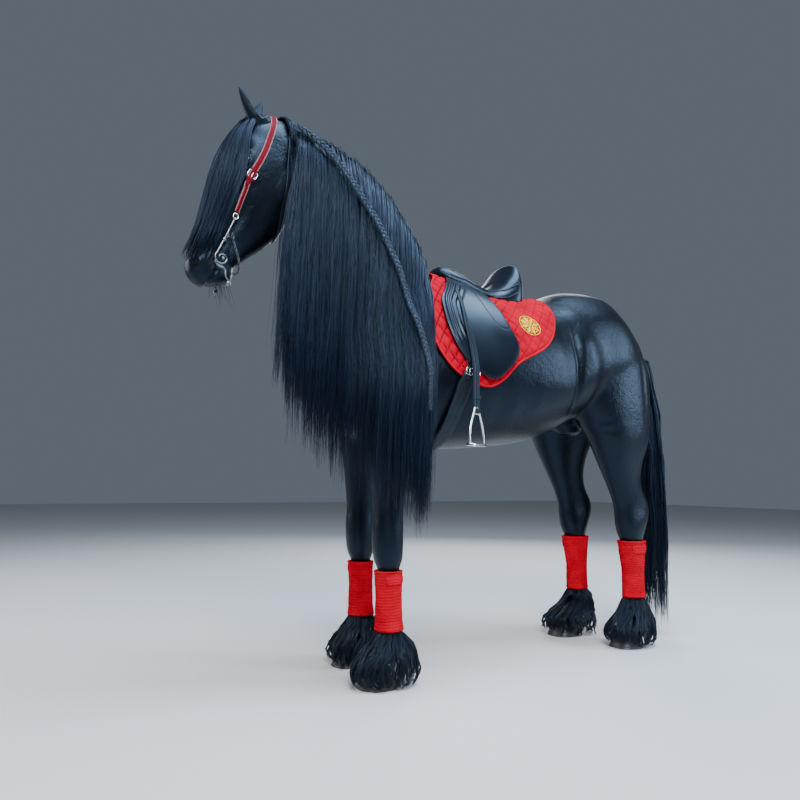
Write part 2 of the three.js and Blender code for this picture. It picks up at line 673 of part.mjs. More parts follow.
// A flat lock between two lines: its back is flat, a low ridge runs down its middle,
// and it narrows to a point
function strip(left, right, thickness, outward) {
  const last = left.length - 1;
  const rings = [];
  for (let i = 0; i < last; i++) {
    const middle = left[i].clone().lerp(right[i], 0.5);
    const wide = i === 0 ? 0.6 : 1 - 0.45 * Math.pow(i / last, 3);
    const a = middle.clone().lerp(left[i], wide);
    const b = middle.clone().lerp(right[i], wide);
    const ridge = middle.clone().addScaledVector(outward(middle, i), thickness * (1 - 0.5 * Math.pow(i / last, 3)));
    rings.push([a, ridge, b]);
  }
  const points = rings.flat();
  const tip = points.push(left[last].clone().lerp(right[last], 0.5)) - 1;
  const faces = [[0, 1, 2]];
  for (let r = 0; r + 1 < rings.length; r++)
    for (let i = 0; i < 3; i++) {
      const [p, q] = [r * 3 + i, r * 3 + ((i + 1) % 3)];
      faces.push([p, p + 3, q], [q, p + 3, q + 3]);
    }
  const end = (rings.length - 1) * 3;
  for (let i = 0; i < 3; i++) faces.push([tip, end + ((i + 1) % 3), end + i]);
  const geometry = new THREE.BufferGeometry().setFromPoints(points);
  geometry.setIndex(faces.flat());
  return solid(geometry);
}

function maneLocks() {
  const random = seeded(11);
  const made = [];
  const away = (_, i) => (i < 2 ? new THREE.Vector3(0, -0.4, 0.92) : new THREE.Vector3(0, -1, 0));
  MANE.clear.forEach((clear, layer) => {
    for (let i = 0; i < MANE.locks; i++) {
      const centre = (i + 0.25 + 0.5 * layer) / MANE.locks;
      const half = MANE.half / MANE.locks;
      const lift = random() * 60 + layer * 40 * random();
      const sides = [centre - half, centre + half].map((s) => maneLine(clamp(s, 0, 1), clear, lift));
      made.push(strip(...sides, MANE.thickness, away));
    }
  });
  return made;
}

const BRAID_LINE = [
  [-990, 2050], [-878, 1967], [-801, 1875], [-723, 1758], [-658, 1638], [-602, 1498],
  [-566, 1380], [-543, 1235], [-538, 1097], [-538, 985],
];
const BRAID = { radius: 14, plaits: 16, clear: 40 };
function maneBraid() {
  const points = [];
  const steps = BRAID.plaits * 2;
  for (let i = 0; i <= steps; i++) {
    const [x, z] = through(BRAID_LINE, i / steps);
    let lie = 0;
    for (let up = 0; up <= 8; up++) lie = Math.max(lie, reachAt(bodyMeshes, x, z + up * 50, LEFT));
    points.push(new THREE.Vector3(x, -(lie + BRAID.clear), z));
  }
  return tube(points, points.map((_, i) => (i === steps ? 2 : BRAID.radius * (i % 2 ? 1.05 : 0.75))), 4);
}

// Forelock: falls between the ears and over the face as far as the nostrils
const FORELOCK = { locks: 5, spread: 1.0, thickness: 12, rings: 6, clear: [4, 19], end: 610, half: 0.46 };
function faceLine(turn, clear, end) {
  const points = [];
  for (let i = 0; i <= FORELOCK.rings; i++) {
    const t = i / FORELOCK.rings;
    const u = lerp(4, end, t);
    const [front, jaw, half, wide] = [1, 2, 3, 4].map((k) => along(HEAD_TABLE.map((row) => [row[0], row[k]]), u));
    const bow = Math.sin(Math.PI * Math.min(1, t * 1.02)) * 16;
    const middle = front - wide * (front - jaw);
    const sweep = turn * lerp(0.42, 1, Math.min(1, t * 2.2)) * lerp(1, 0.8, t);
    const out = i === 0 ? -16 : clear + bow;
    const v = middle + (front - middle + out) * Math.pow(Math.cos(sweep), 0.75);
    const [x, z] = headPoint(u, v);
    points.push(new THREE.Vector3(x, (half + out * 0.7) * Math.sin(sweep), z));
  }
  return points;
}

function forelockLocks() {
  const random = seeded(23);
  const made = [];
  const forward = new THREE.Vector3(HEAD_OUT.x, 0, HEAD_OUT.y);
  FORELOCK.clear.forEach((clear, layer) => {
    for (let i = 0; i < FORELOCK.locks - layer; i++) {
      const centre = i + 0.5 + 0.5 * layer;
      const turnAt = (k) => lerp(-FORELOCK.spread, FORELOCK.spread, k / FORELOCK.locks);
      const end = FORELOCK.end - random() * 60 - 90 * Math.abs(centre / FORELOCK.locks - 0.5);
      const sides = [centre - FORELOCK.half, centre + FORELOCK.half].map((k) => faceLine(turnAt(k), clear, end));
      const outward = (p) => forward.clone().add(new THREE.Vector3(0, p.y / 70, 0)).normalize();
      made.push(strip(...sides, FORELOCK.thickness, outward));
    }
  });
  return made;
}

// Feathers: long hair from the fetlock down, all round the hoof and longest behind it
const FEATHER = { locks: 6, thickness: 10, layers: [0, 13], half: 0.46, side: 94, back: 62 };
const FEATHER_FRONT = { fore: 12, hind: 40 };
function featherLine(name, turn, out, lift) {
  const { side, cannon, hoof } = LEGS[name];
  const back = Math.max(0, -Math.cos(turn));
  const front = Math.max(0, Math.cos(turn));
  const reach = FEATHER.side + FEATHER.back * Math.pow(back, 1.5);
  const low = 8 + lift + front * FEATHER_FRONT[kindOf(name)];
  const steps = [[176, 14], [156, 47 + out], [124, 60 + 12 * back + out], [84, reach * 0.82 + out],
    [low * 0.6 + 34, reach * 0.95 + out], [low, reach + out]];
  return steps.map(([z, r]) => {
    const centre = lerp(hoof - 4, cannon, clamp((z - 80) / 90, 0, 1));
    return new THREE.Vector3(centre - Math.cos(turn) * r, side * HALF_TRACK + Math.sin(turn) * r * 0.94, z);
  });
}

function featherLocks(name) {
  const random = seeded(31 + Object.keys(LEGS).indexOf(name));
  const made = [];
  const { side, hoof } = LEGS[name];
  const outward = (p) => new THREE.Vector3(p.x - hoof, p.y - side * HALF_TRACK, 0).normalize();
  FEATHER.layers.forEach((out, layer) => {
    for (let i = 0; i < FEATHER.locks; i++) {
      const share = (i + 0.5 + 0.5 * layer) / FEATHER.locks;
      const lift = random() * 16;
      const sides = [-1, 1].map((way) =>
        featherLine(name, (share + (way * FEATHER.half) / FEATHER.locks) * Math.PI * 2, out, lift));
      made.push(strip(...sides, FEATHER.thickness, outward));
    }
  });
  return made;
}

// Tail: the dock with long locks all round it
const TAIL = { locks: 5, thickness: 15, rings: 8, low: 45, centre: 944, half: 0.46, layers: [0, 21] };
const DOCK = [[862, 1416], [902, 1416], [928, 1388], [941, 1300], [944, 1180], [944, 1000], [944, 840]];
const DOCK_RADII = [28, 33, 34, 31, 28, 22, 6];
function tailLine(turn, root, out, low) {
  const [dx, dz] = through(DOCK, root);
  const points = [new THREE.Vector3(dx, 0, dz)];
  for (let i = 1; i <= TAIL.rings; i++) {
    const t = i / TAIL.rings;
    const z = lerp(dz - 10, low, Math.pow(t, 1.15));
    const belly = Math.sin(Math.PI * Math.min(1, 0.12 + t * 0.62));
    const wave = 8 * Math.sin(turn * 2 + t * 9) * t;
    const x = lerp(dx, TAIL.centre, Math.min(1, t * 3)) + Math.cos(turn) * (22 + 30 * belly + out) + wave + 10 * t;
    points.push(new THREE.Vector3(x, Math.sin(turn) * (30 + 62 * belly + out) + wave, z));
  }
  return points;
}

function tailLocks() {
  const random = seeded(47);
  const made = [];
  const outward = (p) => new THREE.Vector3(p.x - TAIL.centre, p.y, 0).normalize();
  TAIL.layers.forEach((out, layer) => {
    for (let i = 0; i < TAIL.locks; i++) {
      const share = (i + 0.5 * layer) / TAIL.locks;
      const root = 0.2 + 0.26 * random();
      const low = TAIL.low + 170 * random() * (2 - layer);
      const sides = [-1, 1].map((way) =>
        tailLine((share + (way * TAIL.half) / TAIL.locks) * Math.PI * 2, root, out, low));
      made.push(strip(...sides, TAIL.thickness, outward));
    }
  });
  return made;
}

// Ear: a pointed cup that opens forwards and outwards
const EAR_WIDTHS = [[0, 0.8], [0.25, 0.88], [0.48, 1], [0.7, 0.8], [0.88, 0.42], [1, 0.08]];
function earCone(side, share, shift, grow = 0) {
  const [bx, bz] = headPoint(EAR.u, EAR.v);
  const base = new THREE.Vector3(bx, side * EAR.out, bz);
  const [tx, ty, tz] = side < 0 ? EAR_TIP.left : EAR_TIP.right;
  const tip = new THREE.Vector3(tx, side * ty, tz);
  const way = tip.clone().sub(base).normalize();
  base.addScaledVector(way, -EAR.root);
  const wide = new THREE.Vector3().crossVectors(new THREE.Vector3(0, 1, 0), way).normalize();
  const deep = new THREE.Vector3().crossVectors(wide, way);
  const opening = wide.clone().addScaledVector(new THREE.Vector3(0, side, 0), 0.55).normalize();
  const rings = EAR_WIDTHS.map(([t, w]) => {
    const centre = base.clone().lerp(tip, t).addScaledVector(opening, shift);
    return Array.from({ length: EAR.sides }, (_, k) => {
      const angle = (2 * Math.PI * k) / EAR.sides;
      return centre.clone()
        .addScaledVector(wide, Math.cos(angle) * (EAR.wide * w * share + grow))
        .addScaledVector(deep, Math.sin(angle) * (EAR.thick * w * share + grow));
    });
  });
  return capped(rings, grow);
}
const earShape = (side) =>
  earCone(side, 1, 0).subtract(earCone(side, 0.76, 13)).add(earCone(side, 1, 0).intersect(headFlesh(16)))
    .subtract(headClear);

const eyeCentre = (side) => {
  const [x, z] = headPoint(EYE.u, EYE.v);
  return [x, side * EYE.out, z];
};
const round = (radius) => [radius, radius, radius];

// The head's flesh: lids round each eye, nostrils, and the line of the mouth
function headWithFeatures() {
  const mouth = band(MOUTH.line.map(([u, v]) => headPoint(u, v)), MOUTH.open, [-100, 100])
    .subtract(headFlesh(-MOUTH.depth));
  let made = headShape.subtract(mouth);
  const [nx, nz] = headPoint(NOSTRIL.u, NOSTRIL.v);
  for (const side of [LEFT, RIGHT]) {
    const [x, y, z] = eyeCentre(side);
    const lids = ball([x, y - side * 3, z], round(EYE.radius + EYE.lid), 0, 10, 7);
    const slit = ball([x, y + side * EYE.radius, z], [EYE.radius, EYE.radius, EYE.radius * 0.62], 0, 8, 6);
    made = made
      .add(lids)
      .subtract(slit)
      .subtract(ball([x, y, z], round(EYE.radius + GAP), 0, 10, 7))
      .subtract(ball([nx, side * NOSTRIL.out, nz], NOSTRIL.size, 0, 8, 6, 0.4));
  }
  return made;
}

function forelockHair() {
  const cheek = headFlesh(STRAP_THICKNESS + GAP)
    .intersect(band(BRIDLE.cheek, BRIDLE.cheekWidth + 2, [-200, 200]))
    .subtract(headShape);
  let hair = join(forelockLocks()).subtract(cheek);
  for (const side of [LEFT, RIGHT])
    hair = hair
      .subtract(earCone(side, 1, 0, 4 * GAP))
      .subtract(ball(eyeCentre(side), round(EYE.radius + 4), 0, 10, 8));
  return hair;
}

// Body
node("torso", torsoShape, COAT);
for (const name of Object.keys(LEGS)) {
  const limb = legShapes[name].intersect(below(seamOf(name) - GAP / 2)).subtract(torsoClear);
  const hair = join(featherLocks(name)).intersect(above(2));
  node("leg_" + name, limb.add(hair).subtract(hoofSolid(LEGS[name], GAP)), COAT);
  node("hoof_" + name, hoofSolid(LEGS[name]), HORN);
  const [low, high] = WRAP_HEIGHTS[kindOf(name)];
  const wrap = legLoft(name, WRAP_THICKNESS).intersect(above(low)).intersect(below(high));
  node("wrap_" + name, wrap.subtract(legClear[name]), WRAP_RED);
}
node("head", headWithFeatures().add(forelockHair()), COAT);
for (const [name, side] of Object.entries(SIDES)) {
  node("ear_" + name, earShape(side), COAT);
  node("eye_" + name, ball(eyeCentre(side), round(EYE.radius), 0, 10, 7), EYE_DARK);
}

// Neck with the mane and its braid
const behindNeck = boxSolid([-484, 0], [-FAR, FAR], [-FAR, 1565]).add(boxSolid([-402, 0], [-FAR, FAR], [1500, 1640]))
  .add(boxSolid([-374, 0], [-FAR, FAR], [1600, FAR]));
const clearOfMane = [torsoClear, headClear, legClear.fore_left, legClear.fore_right, latchClear, behindNeck];
clearOfMane.push(headFlesh(STRAP_THICKNESS + GAP).intersect(band(BRIDLE.cheek, BRIDLE.cheekWidth + 2, [-200, 200])));
node("neck", join([neckShape, ...maneLocks(), maneBraid()]).subtract(join(clearOfMane)), HAIR);

// Tail
const dock = tube(
  DOCK.map(([x, z]) => new THREE.Vector3(x, 0, z)),
  DOCK_RADII,
  8,
);
const clearOfTail = join([torsoClear, legClear.hind_left, legClear.hind_right]);
node("tail", join([dock, ...tailLocks()]).subtract(clearOfTail), HAIR);

// Saddlery
node("saddle_pad", padShape, PAD_RED);
node("girth", girthShape, LEATHER);
node("saddle_seat", seatShape, LEATHER);
for (const [name, side] of Object.entries(SIDES)) {
  node("saddle_flap_" + name, flapShape(side), LEATHER);
  node("stirrup_leather_" + name, stirrupLeather(side), LEATHER);
  node("stirrup_iron_" + name, stirrupIron(side), STEEL);
}

// Bridle
node("headstall", cheekStrap, RED_LEATHER);
node("throat_latch", latchStrap.subtract(cheekStrap), LEATHER);
node("curb_chain", curbChain().subtract(bitShank(LEFT)).subtract(bitShank(RIGHT)), STEEL);
for (const [name, side] of Object.entries(SIDES)) {
  node("bit_shank_" + name, bitShank(side), STEEL);
}

// The origin is on the floor, in the middle of the whole horse
const box = new THREE.Box3().setFromObject(group);
const middle = box.getCenter(new THREE.Vector3());
group.position.set(-settle(middle.x), -settle(middle.y), -settle(box.min.z));

export default group;
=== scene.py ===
# A black long-maned stallion at life size, in saddle, bridle and red leg wraps.
# Sizes below are millimetres: X from the nose back, Y to the horse's right, Z up from the floor.
import math

import bmesh
import bpy
import numpy as np
from mathutils import Matrix, Vector
from mathutils.bvhtree import BVHTree


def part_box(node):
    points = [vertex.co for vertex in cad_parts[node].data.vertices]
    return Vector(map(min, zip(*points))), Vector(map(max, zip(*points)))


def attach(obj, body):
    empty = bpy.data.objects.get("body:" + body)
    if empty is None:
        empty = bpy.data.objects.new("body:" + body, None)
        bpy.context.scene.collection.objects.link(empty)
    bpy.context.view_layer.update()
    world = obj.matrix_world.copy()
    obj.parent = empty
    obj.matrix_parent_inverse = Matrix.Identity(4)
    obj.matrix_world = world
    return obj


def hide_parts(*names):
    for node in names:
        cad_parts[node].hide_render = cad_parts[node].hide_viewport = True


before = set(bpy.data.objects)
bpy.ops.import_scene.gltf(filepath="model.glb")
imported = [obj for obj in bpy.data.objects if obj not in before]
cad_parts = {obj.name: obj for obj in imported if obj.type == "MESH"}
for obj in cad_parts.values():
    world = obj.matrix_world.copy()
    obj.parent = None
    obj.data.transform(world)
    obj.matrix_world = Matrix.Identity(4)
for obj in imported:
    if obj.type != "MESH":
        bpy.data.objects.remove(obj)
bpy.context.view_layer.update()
BREAST_X = -812
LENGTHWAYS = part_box("torso")[0][0] * 1000 - BREAST_X
HEAD_LOW = 1360
COAT = 2.0
HALF_TRACK = 160
LEFT, RIGHT = -1, 1
SIDES = {"left": LEFT, "right": RIGHT}

bpy.ops.object.select_all(action="DESELECT")


# Helpers
def lerp(a, b, t):
    return a + (b - a) * t


def smooth(x):
    x = np.clip(x, 0, 1)
    return x * x * (3 - 2 * x)


def unit(v):
    return v / np.linalg.norm(v, axis=-1, keepdims=True)


def angles(count):
    return 2 * np.pi * np.arange(count) / count


def squared(wave, power):
    """A sine or cosine pushed out towards a square corner."""
    return np.sign(wave) * np.abs(wave) ** power


def soften(points, rounds=1):
    """Even out a row of points in place, its two ends held."""
    for _ in range(rounds):
        points[1:-1] = 0.25 * points[:-2] + 0.5 * points[1:-1] + 0.25 * points[2:]
    return points


def through(rows, t):
    """Catmull-Rom values through rows, for one t or many, from 0 to 1."""
    rows = np.asarray(rows, float)
    place = np.clip(np.asarray(t, float), 0, 1) * (len(rows) - 1)
    i = np.minimum(len(rows) - 2, np.floor(place).astype(int))
    f = np.reshape(place - i, np.shape(place) + (1,) * (rows.ndim - 1))
    p, q, r, s = (rows[np.clip(i + k, 0, len(rows) - 1)] for k in (-1, 0, 1, 2))
    return q + 0.5 * f * (r - p + f * (2 * p - 5 * q + 4 * r - s + f * (3 * (q - r) + s - p)))


def run_of(points):
    """How far along a line each of its points lies."""
    return np.concatenate([[0], np.cumsum(np.linalg.norm(np.diff(points, axis=0), axis=1))])


def near_line(points, line):
    """Distance from points to a broken line, and the share of the line where each comes nearest."""
    line = np.asarray(line, float)
    best, share = np.full(points.shape[:-1], np.inf), np.zeros(points.shape[:-1])
    far = run_of(line)
    for i, (a, b) in enumerate(zip(line[:-1], line[1:])):
        t = np.clip(((points - a) @ (b - a)) / ((b - a) @ (b - a)), 0, 1)
        d = np.linalg.norm(points - (a + t[..., None] * (b - a)), axis=-1)
        share = np.where(d < best, lerp(far[i], far[i + 1], t) / far[-1], share)
        best = np.minimum(best, d)
    return best, share


def resample(points, step, loop=False):
    points = np.asarray(points, float)
    if loop:
        points = np.concatenate([points, points[:1]])
    far = run_of(points)
    count = max(3, int(round(far[-1] / step)))
    at = np.linspace(0, far[-1], count + 1)
    out = np.stack([np.interp(at, far, column) for column in points.T], 1)
    return out[:-1] if loop else out


def curve(points, step=6.0):
    """Points a step apart on a smooth line through a few."""
    return resample(through(points, np.linspace(0, 1, 40 * len(points))), step)


def frames(points, hint):
    """Forward, outward and sideways directions along a line."""
    t = unit(np.gradient(points, axis=0))
    n = unit(hint - (hint * t).sum(1, keepdims=True) * t)
    return t, n, np.cross(t, n)


def oval(angle, length, half, wide, na, nb, grow):
    """Sideways and upward reach of a section, at an angle from its top."""
    c, s = np.cos(angle), np.sin(angle)
    reach = np.where(c >= 0, length * wide, length * (1 - wide)) + grow
    power = 2 / np.where(c >= 0, na, nb)
    return squared(s, power) * (half + grow), squared(c, power) * reach


def along(rows, x):
    rows = np.asarray(rows, float)
    return np.interp(x, rows[:, 0], rows[:, 1])


def section(row, count, grow=0.0):
    """One section in side view from a to b, widest at the share wide, squared by na and nb."""
    ax, az, bx, bz, half, y, wide, na, nb = row
    out = np.array([ax - bx, az - bz])
    length = np.hypot(*out)
    out /= length
    middle = np.array([ax, az]) - out * length * wide
    side, up = oval(angles(count), length, half, wide, na, nb, grow)
    return np.stack([middle[0] + out[0] * up, y + side, middle[1] + out[1] * up], 1)


def loft(rows, steps, count, grow=0.0):
    """Vertices and faces of a closed loft through rows of sections."""
    return closed([section(row, count, grow) for row in through(rows, np.linspace(0, 1, steps + 1))])


def band(rows, count, loop=False):
    """Triangles between rows of points that close round; a loop also joins the last to the first."""
    r, i = np.meshgrid(np.arange(rows if loop else rows - 1), np.arange(count), indexing="ij")
    j, q = (i + 1) % count, (r + 1) % rows
    a, b, c, d = r * count + i, r * count + j, q * count + i, q * count + j
    return np.concatenate([np.stack([a, c, b], -1).reshape(-1, 3), np.stack([b, c, d], -1).reshape(-1, 3)])


def closed(rings):
    """A skin over rings of points, with a fan of triangles over each end."""
    rings = np.asarray(rings, float)
    rows, count = rings.shape[:2]
    verts = np.concatenate([rings.reshape(-1, 3), rings[0].mean(0)[None], rings[-1].mean(0)[None]])
    k, end = np.arange(count), (rows - 1) * count
    following = (k + 1) % count
    caps = [np.stack([np.full(count, len(verts) - 2), k, following], 1),
            np.stack([np.full(count, len(verts) - 1), end + following, end + k], 1)]
    return verts, np.concatenate([band(rows, count), *caps])


def ball(centre, radii, across=24, up=16, tilt=0.0):
    turn = -angles(across)
    verts, faces = closed([
        np.stack([np.sin(a) * np.cos(turn), np.sin(a) * np.sin(turn), np.full(across, np.cos(a))], 1)
        for a in np.linspace(0, np.pi, up + 1)[1:-1]])
    verts[-2:] = (0, 0, 1), (0, 0, -1)
    x, y, z = (verts * np.array(radii)).T
    c, s = math.cos(tilt), math.sin(tilt)
    return np.stack([x * c + z * s, y, z * c - x * s], 1) + np.array(centre), faces


def put(points):
    """Millimetres of the horse's own plan, as metres in the frame."""
    return (np.asarray(points, float) + np.array([LENGTHWAYS, 0, 0])) * 0.001


def mesh_object(name, verts, faces, uv=None):
    """A mesh from vertex and triangle arrays, in the horse's own plan."""
    mesh = bpy.data.meshes.new(name)
    faces = np.asarray(faces, np.int32)
    mesh.vertices.add(len(verts))
    mesh.vertices.foreach_set("co", put(verts).astype(np.float32).ravel())
    mesh.loops.add(faces.size)
    mesh.loops.foreach_set("vertex_index", faces.ravel())
    mesh.polygons.add(len(faces))
    mesh.polygons.foreach_set("loop_start", np.arange(len(faces), dtype=np.int32) * 3)
    mesh.polygons.foreach_set("loop_total", np.full(len(faces), 3, np.int32))
    if uv is not None:
        layer = mesh.uv_layers.new(name="OFBake")
        layer.data.foreach_set("uv", np.asarray(uv, np.float32)[faces.ravel()].ravel())
    mesh.shade_smooth()
    mesh.update()
    mesh.validate()
    obj = bpy.data.objects.new(name, mesh)
    bpy.context.scene.collection.objects.link(obj)
    return obj


def many(parts):
    """Several (vertices, faces) as one."""
    verts, faces, base = [], [], 0
    for v, f in parts:
        verts.append(v)
        faces.append(np.asarray(f) + base)
        base += len(v)
    return np.concatenate(verts), np.concatenate(faces)


def per_point(obj, name, values):
    """A number for each point of a mesh, for its material to read."""
    layer = obj.data.attributes.new(name, "FLOAT", "POINT")
    layer.data.foreach_set("value", values.astype(np.float32))


def pick(*objs):
    """Select only these, with the first one active."""
    bpy.ops.object.select_all(action="DESELECT")
    for obj in objs:
        obj.select_set(True)
    bpy.context.view_layer.objects.active = objs[0]


def coords(obj):
    co = np.zeros(len(obj.data.vertices) * 3, np.float32)
    obj.data.vertices.foreach_get("co", co)
    return co.reshape(-1, 3).astype(float) * 1000 - np.array([LENGTHWAYS, 0, 0])


def set_coords(obj, points):
    obj.data.vertices.foreach_set("co", put(points).astype(np.float32).ravel())
    obj.data.update()


def normals(obj):
    out = np.zeros(len(obj.data.vertices) * 3, np.float32)
    obj.data.vertex_normals.foreach_get("vector", out)
    return out.reshape(-1, 3).astype(float)


def relax(obj, rounds, share=0.5):
    """Draw each point of a mesh towards the middle of its neighbours, by one share or one for each."""
    edges = np.zeros(len(obj.data.edges) * 2, np.int32)
    obj.data.edges.foreach_get("vertices", edges)
    near, other = edges.reshape(-1, 2).T
    co = coords(obj)
    degree = np.bincount(edges, minlength=len(co)).astype(float)[:, None]
    for _ in range(rounds):
        total = np.stack([np.bincount(near, co[other, k], len(co)) + np.bincount(other, co[near, k], len(co))
                          for k in range(3)], 1)
        co = co + share * (total / np.maximum(degree, 1) - co)
    set_coords(obj, co)


def remeshed(obj, voxel, rounds):
    """One even skin over all parts of a mesh, then relaxed."""
    remesh = obj.modifiers.new("remesh", "REMESH")
    remesh.mode = "VOXEL"
    remesh.voxel_size = voxel
    pick(obj)
    bpy.ops.object.modifier_apply(modifier=remesh.name)
    relax(obj, rounds)


def turned(obj, merge=True):
    """All faces turned outwards, after doubles are merged."""
    bm = bmesh.new()
    bm.from_mesh(obj.data)
    if merge:
        bmesh.ops.remove_doubles(bm, verts=bm.verts, dist=0.00002)
        bmesh.ops.dissolve_degenerate(bm, dist=0.00001, edges=bm.edges)
    bmesh.ops.recalc_face_normals(bm, faces=bm.faces)
    bm.to_mesh(obj.data)
    bm.free()
    obj.data.shade_smooth()
    obj.data.update()
    return obj


def tree_of(verts, faces):
    return BVHTree.FromPolygons([Vector(v) for v in verts], [tuple(int(i) for i in f) for f in faces])


def mesh_tree(obj):
    return tree_of(coords(obj), [p.vertices for p in obj.data.polygons])


def from_side(tree, x, z, side, far=330):
    """Where a line in from one side meets a mesh, and the normal there; None twice if it misses."""
    return tree.ray_cast(Vector((x, side * far, z)), Vector((0, -side, 0)), far)[:2]


def finish(obj, look, slot, *nodes):
    obj.data.materials.append(look)
    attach(obj, "root")
    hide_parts(*nodes)
    return obj


def piece(name, parts, look, slot, node, sharp=None):
    """A finished piece from closed parts, with hard edges where faces meet at more than sharp degrees."""
    obj = turned(mesh_object(name, *many(parts)))
    if sharp:
        pick(obj)
        bpy.ops.object.shade_smooth_by_angle(angle=math.radians(sharp))
    return finish(obj, look, slot, node)


# The horse's own plan: along the trunk, its line above and below, and its half width
TRUNK = np.array([
    [x, top, x, bottom, half, 0, (top - widest) / (top - bottom), na, nb]
    for x, top, bottom, half, widest, na, nb in [
        (-812, 1190, 1110, 34, 1150, 2.0, 2.0),
        (-790, 1285, 1020, 118, 1140, 2.0, 2.0),
        (-750, 1365, 950, 172, 1135, 2.0, 2.1),
        (-690, 1440, 900, 208, 1125, 1.9, 2.2),
        (-600, 1515, 862, 232, 1120, 1.8, 2.1),
        (-500, 1570, 850, 250, 1130, 1.7, 2.1),
        (-400, 1596, 850, 268, 1150, 1.6, 2.1),        # the withers
        (-300, 1584, 855, 288, 1165, 1.6, 2.1),
        (-180, 1546, 863, 312, 1175, 1.8, 2.1),
        (-60, 1520, 875, 326, 1180, 2.0, 2.1),
        (90, 1532, 893, 328, 1190, 2.1, 2.1),
        (230, 1572, 935, 312, 1210, 2.1, 2.1),
        (340, 1618, 985, 292, 1250, 2.1, 2.0),
        (450, 1636, 1025, 284, 1290, 2.1, 2.0),        # the croup
        (550, 1626, 1052, 280, 1310, 2.2, 2.0),
        (640, 1586, 1062, 262, 1310, 2.1, 2.0),
        (730, 1528, 1066, 224, 1300, 2.0, 2.0),
        (810, 1470, 1078, 168, 1290, 2.0, 2.0),
        (872, 1412, 1120, 112, 1280, 2.0, 2.0),
        (905, 1350, 1190, 56, 1270, 2.0, 2.0),
    ]])
NECK = np.array([
    [-330, 1545, -640, 1090, 150, 0, 0.6, 1.6, 2.2],
    [-392, 1690, -768, 1222, 168, 0, 0.62, 1.45, 2.2],
    [-482, 1832, -822, 1350, 152, 0, 0.6, 1.4, 2.2],
    [-602, 1962, -866, 1470, 130, 0, 0.58, 1.4, 2.2],
    [-742, 2044, -916, 1580, 112, 0, 0.55, 1.4, 2.2],
    [-880, 2078, -956, 1672, 100, 0, 0.52, 1.5, 2.2],
    [-985, 2066, -986, 1738, 90, 0, 0.5, 1.7, 2.1],
    [-1046, 2030, -1030, 1800, 74, 0, 0.5, 2.0, 2.0],
])
# The head lies on its own line: u from the poll to the lips, v out to the forehead
POLL = np.array([-1062.0, 2066.0])
HEAD_LINE = np.array([-0.325, -0.946]) / np.hypot(0.325, 0.946)
HEAD_OUT = np.array([HEAD_LINE[1], -HEAD_LINE[0]])


def head_point(u, v):
    return POLL + HEAD_LINE * u + HEAD_OUT * v


def head_uv(points):
    d = points[:, [0, 2]] - POLL
    return d @ HEAD_LINE, d @ HEAD_OUT


HEAD_TABLE = np.array([
    [-18, 10, -78, 46, 0.5, 2.0, 2.0],
    [8, 46, -112, 68, 0.5, 2.1, 2.0],
    [60, 82, -150, 86, 0.42, 2.3, 2.0],
    [130, 97, -172, 97, 0.38, 2.5, 2.1],
    [200, 103, -184, 104, 0.37, 2.6, 2.2],
    [250, 103, -190, 103, 0.37, 2.6, 2.2],
    [320, 98, -190, 92, 0.4, 2.6, 2.3],
    [390, 90, -182, 82, 0.42, 2.5, 2.3],
    [450, 84, -155, 70, 0.42, 2.4, 2.2],
    [510, 80, -122, 60, 0.42, 2.3, 2.1],
    [560, 82, -92, 56, 0.42, 2.3, 2.1],
    [600, 88, -72, 57, 0.42, 2.3, 2.2],
    [640, 92, -74, 58, 0.44, 2.3, 2.3],
    [668, 78, -66, 52, 0.46, 2.2, 2.3],
    [687, 52, -46, 41, 0.48, 2.1, 2.2],
    [698, 22, -22, 22, 0.5, 2.0, 2.0],
])
# The lips are cut level, so the sections lean there
HEAD = np.array([
    [*head_point(u + lean, front), *head_point(u - lean, jaw), half, 0, wide, na, nb]
    for u, front, jaw, half, wide, na, nb in HEAD_TABLE
    for lean in [13 * float(smooth((u - 580) / 100))]])
EYE_CENTRE = (*head_point(236, 46), 88.0)
EYE_RADIUS = 19.6
LEGS = {
    "fore_left": dict(side=-1, cannon=-612, hoof=-652),
    "fore_right": dict(side=1, cannon=-556, hoof=-596),
    "hind_left": dict(side=-1, cannon=692, hoof=640),
    "hind_right": dict(side=1, cannon=662, hoof=566),
}
FORELEG = [
    [1190, -120, 130, 70, 150], [1080, -116, 146, 84, 160], [980, -104, 138, 84, 165],
    [890, -92, 100, 72, 163], [790, -83, 74, 65, 161], [690, -73, 60, 59, 160],
    [610, -67, 56, 56, 160], [550, -68, 54, 59, 160], [500, -68, 52, 61, 160],
    [440, -60, 51, 55, 160], [396, -42, 37, 38, 160], [310, -37, 36, 33, 160],
    [225, -37, 39, 34, 160], [172, -43, 49, 40, 160],
]
HINDLEG = [
    [1400, -150, 0, 40, 150], [1350, -250, 70, 84, 150], [1280, -325, 108, 112, 148],
    [1190, -338, 116, 122, 148], [1090, -326, 116, 124, 150], [1000, -290, 108, 114, 156],
    [920, -246, 92, 97, 166], [840, -208, 58, 78, 167], [760, -168, 46, 62, 166],
    [700, -138, 62, 54, 165], [650, -118, 96, 50, 165], [606, -106, 106, 51, 165],
    [560, -100, 91, 56, 165], [502, -86, 64, 54, 164], [450, -58, 50, 42, 163],
    [330, -41, 41, 34, 162], [235, -40, 42, 34, 162], [176, -46, 52, 41, 162],
]
HOOF = dict(toe=-78, heel=64, half=70, front=90, back=62, top_toe=-44, top_heel=56, top_half=55)
WRAP_HEIGHTS = {"fore": (191, 404), "hind": (214, 468)}


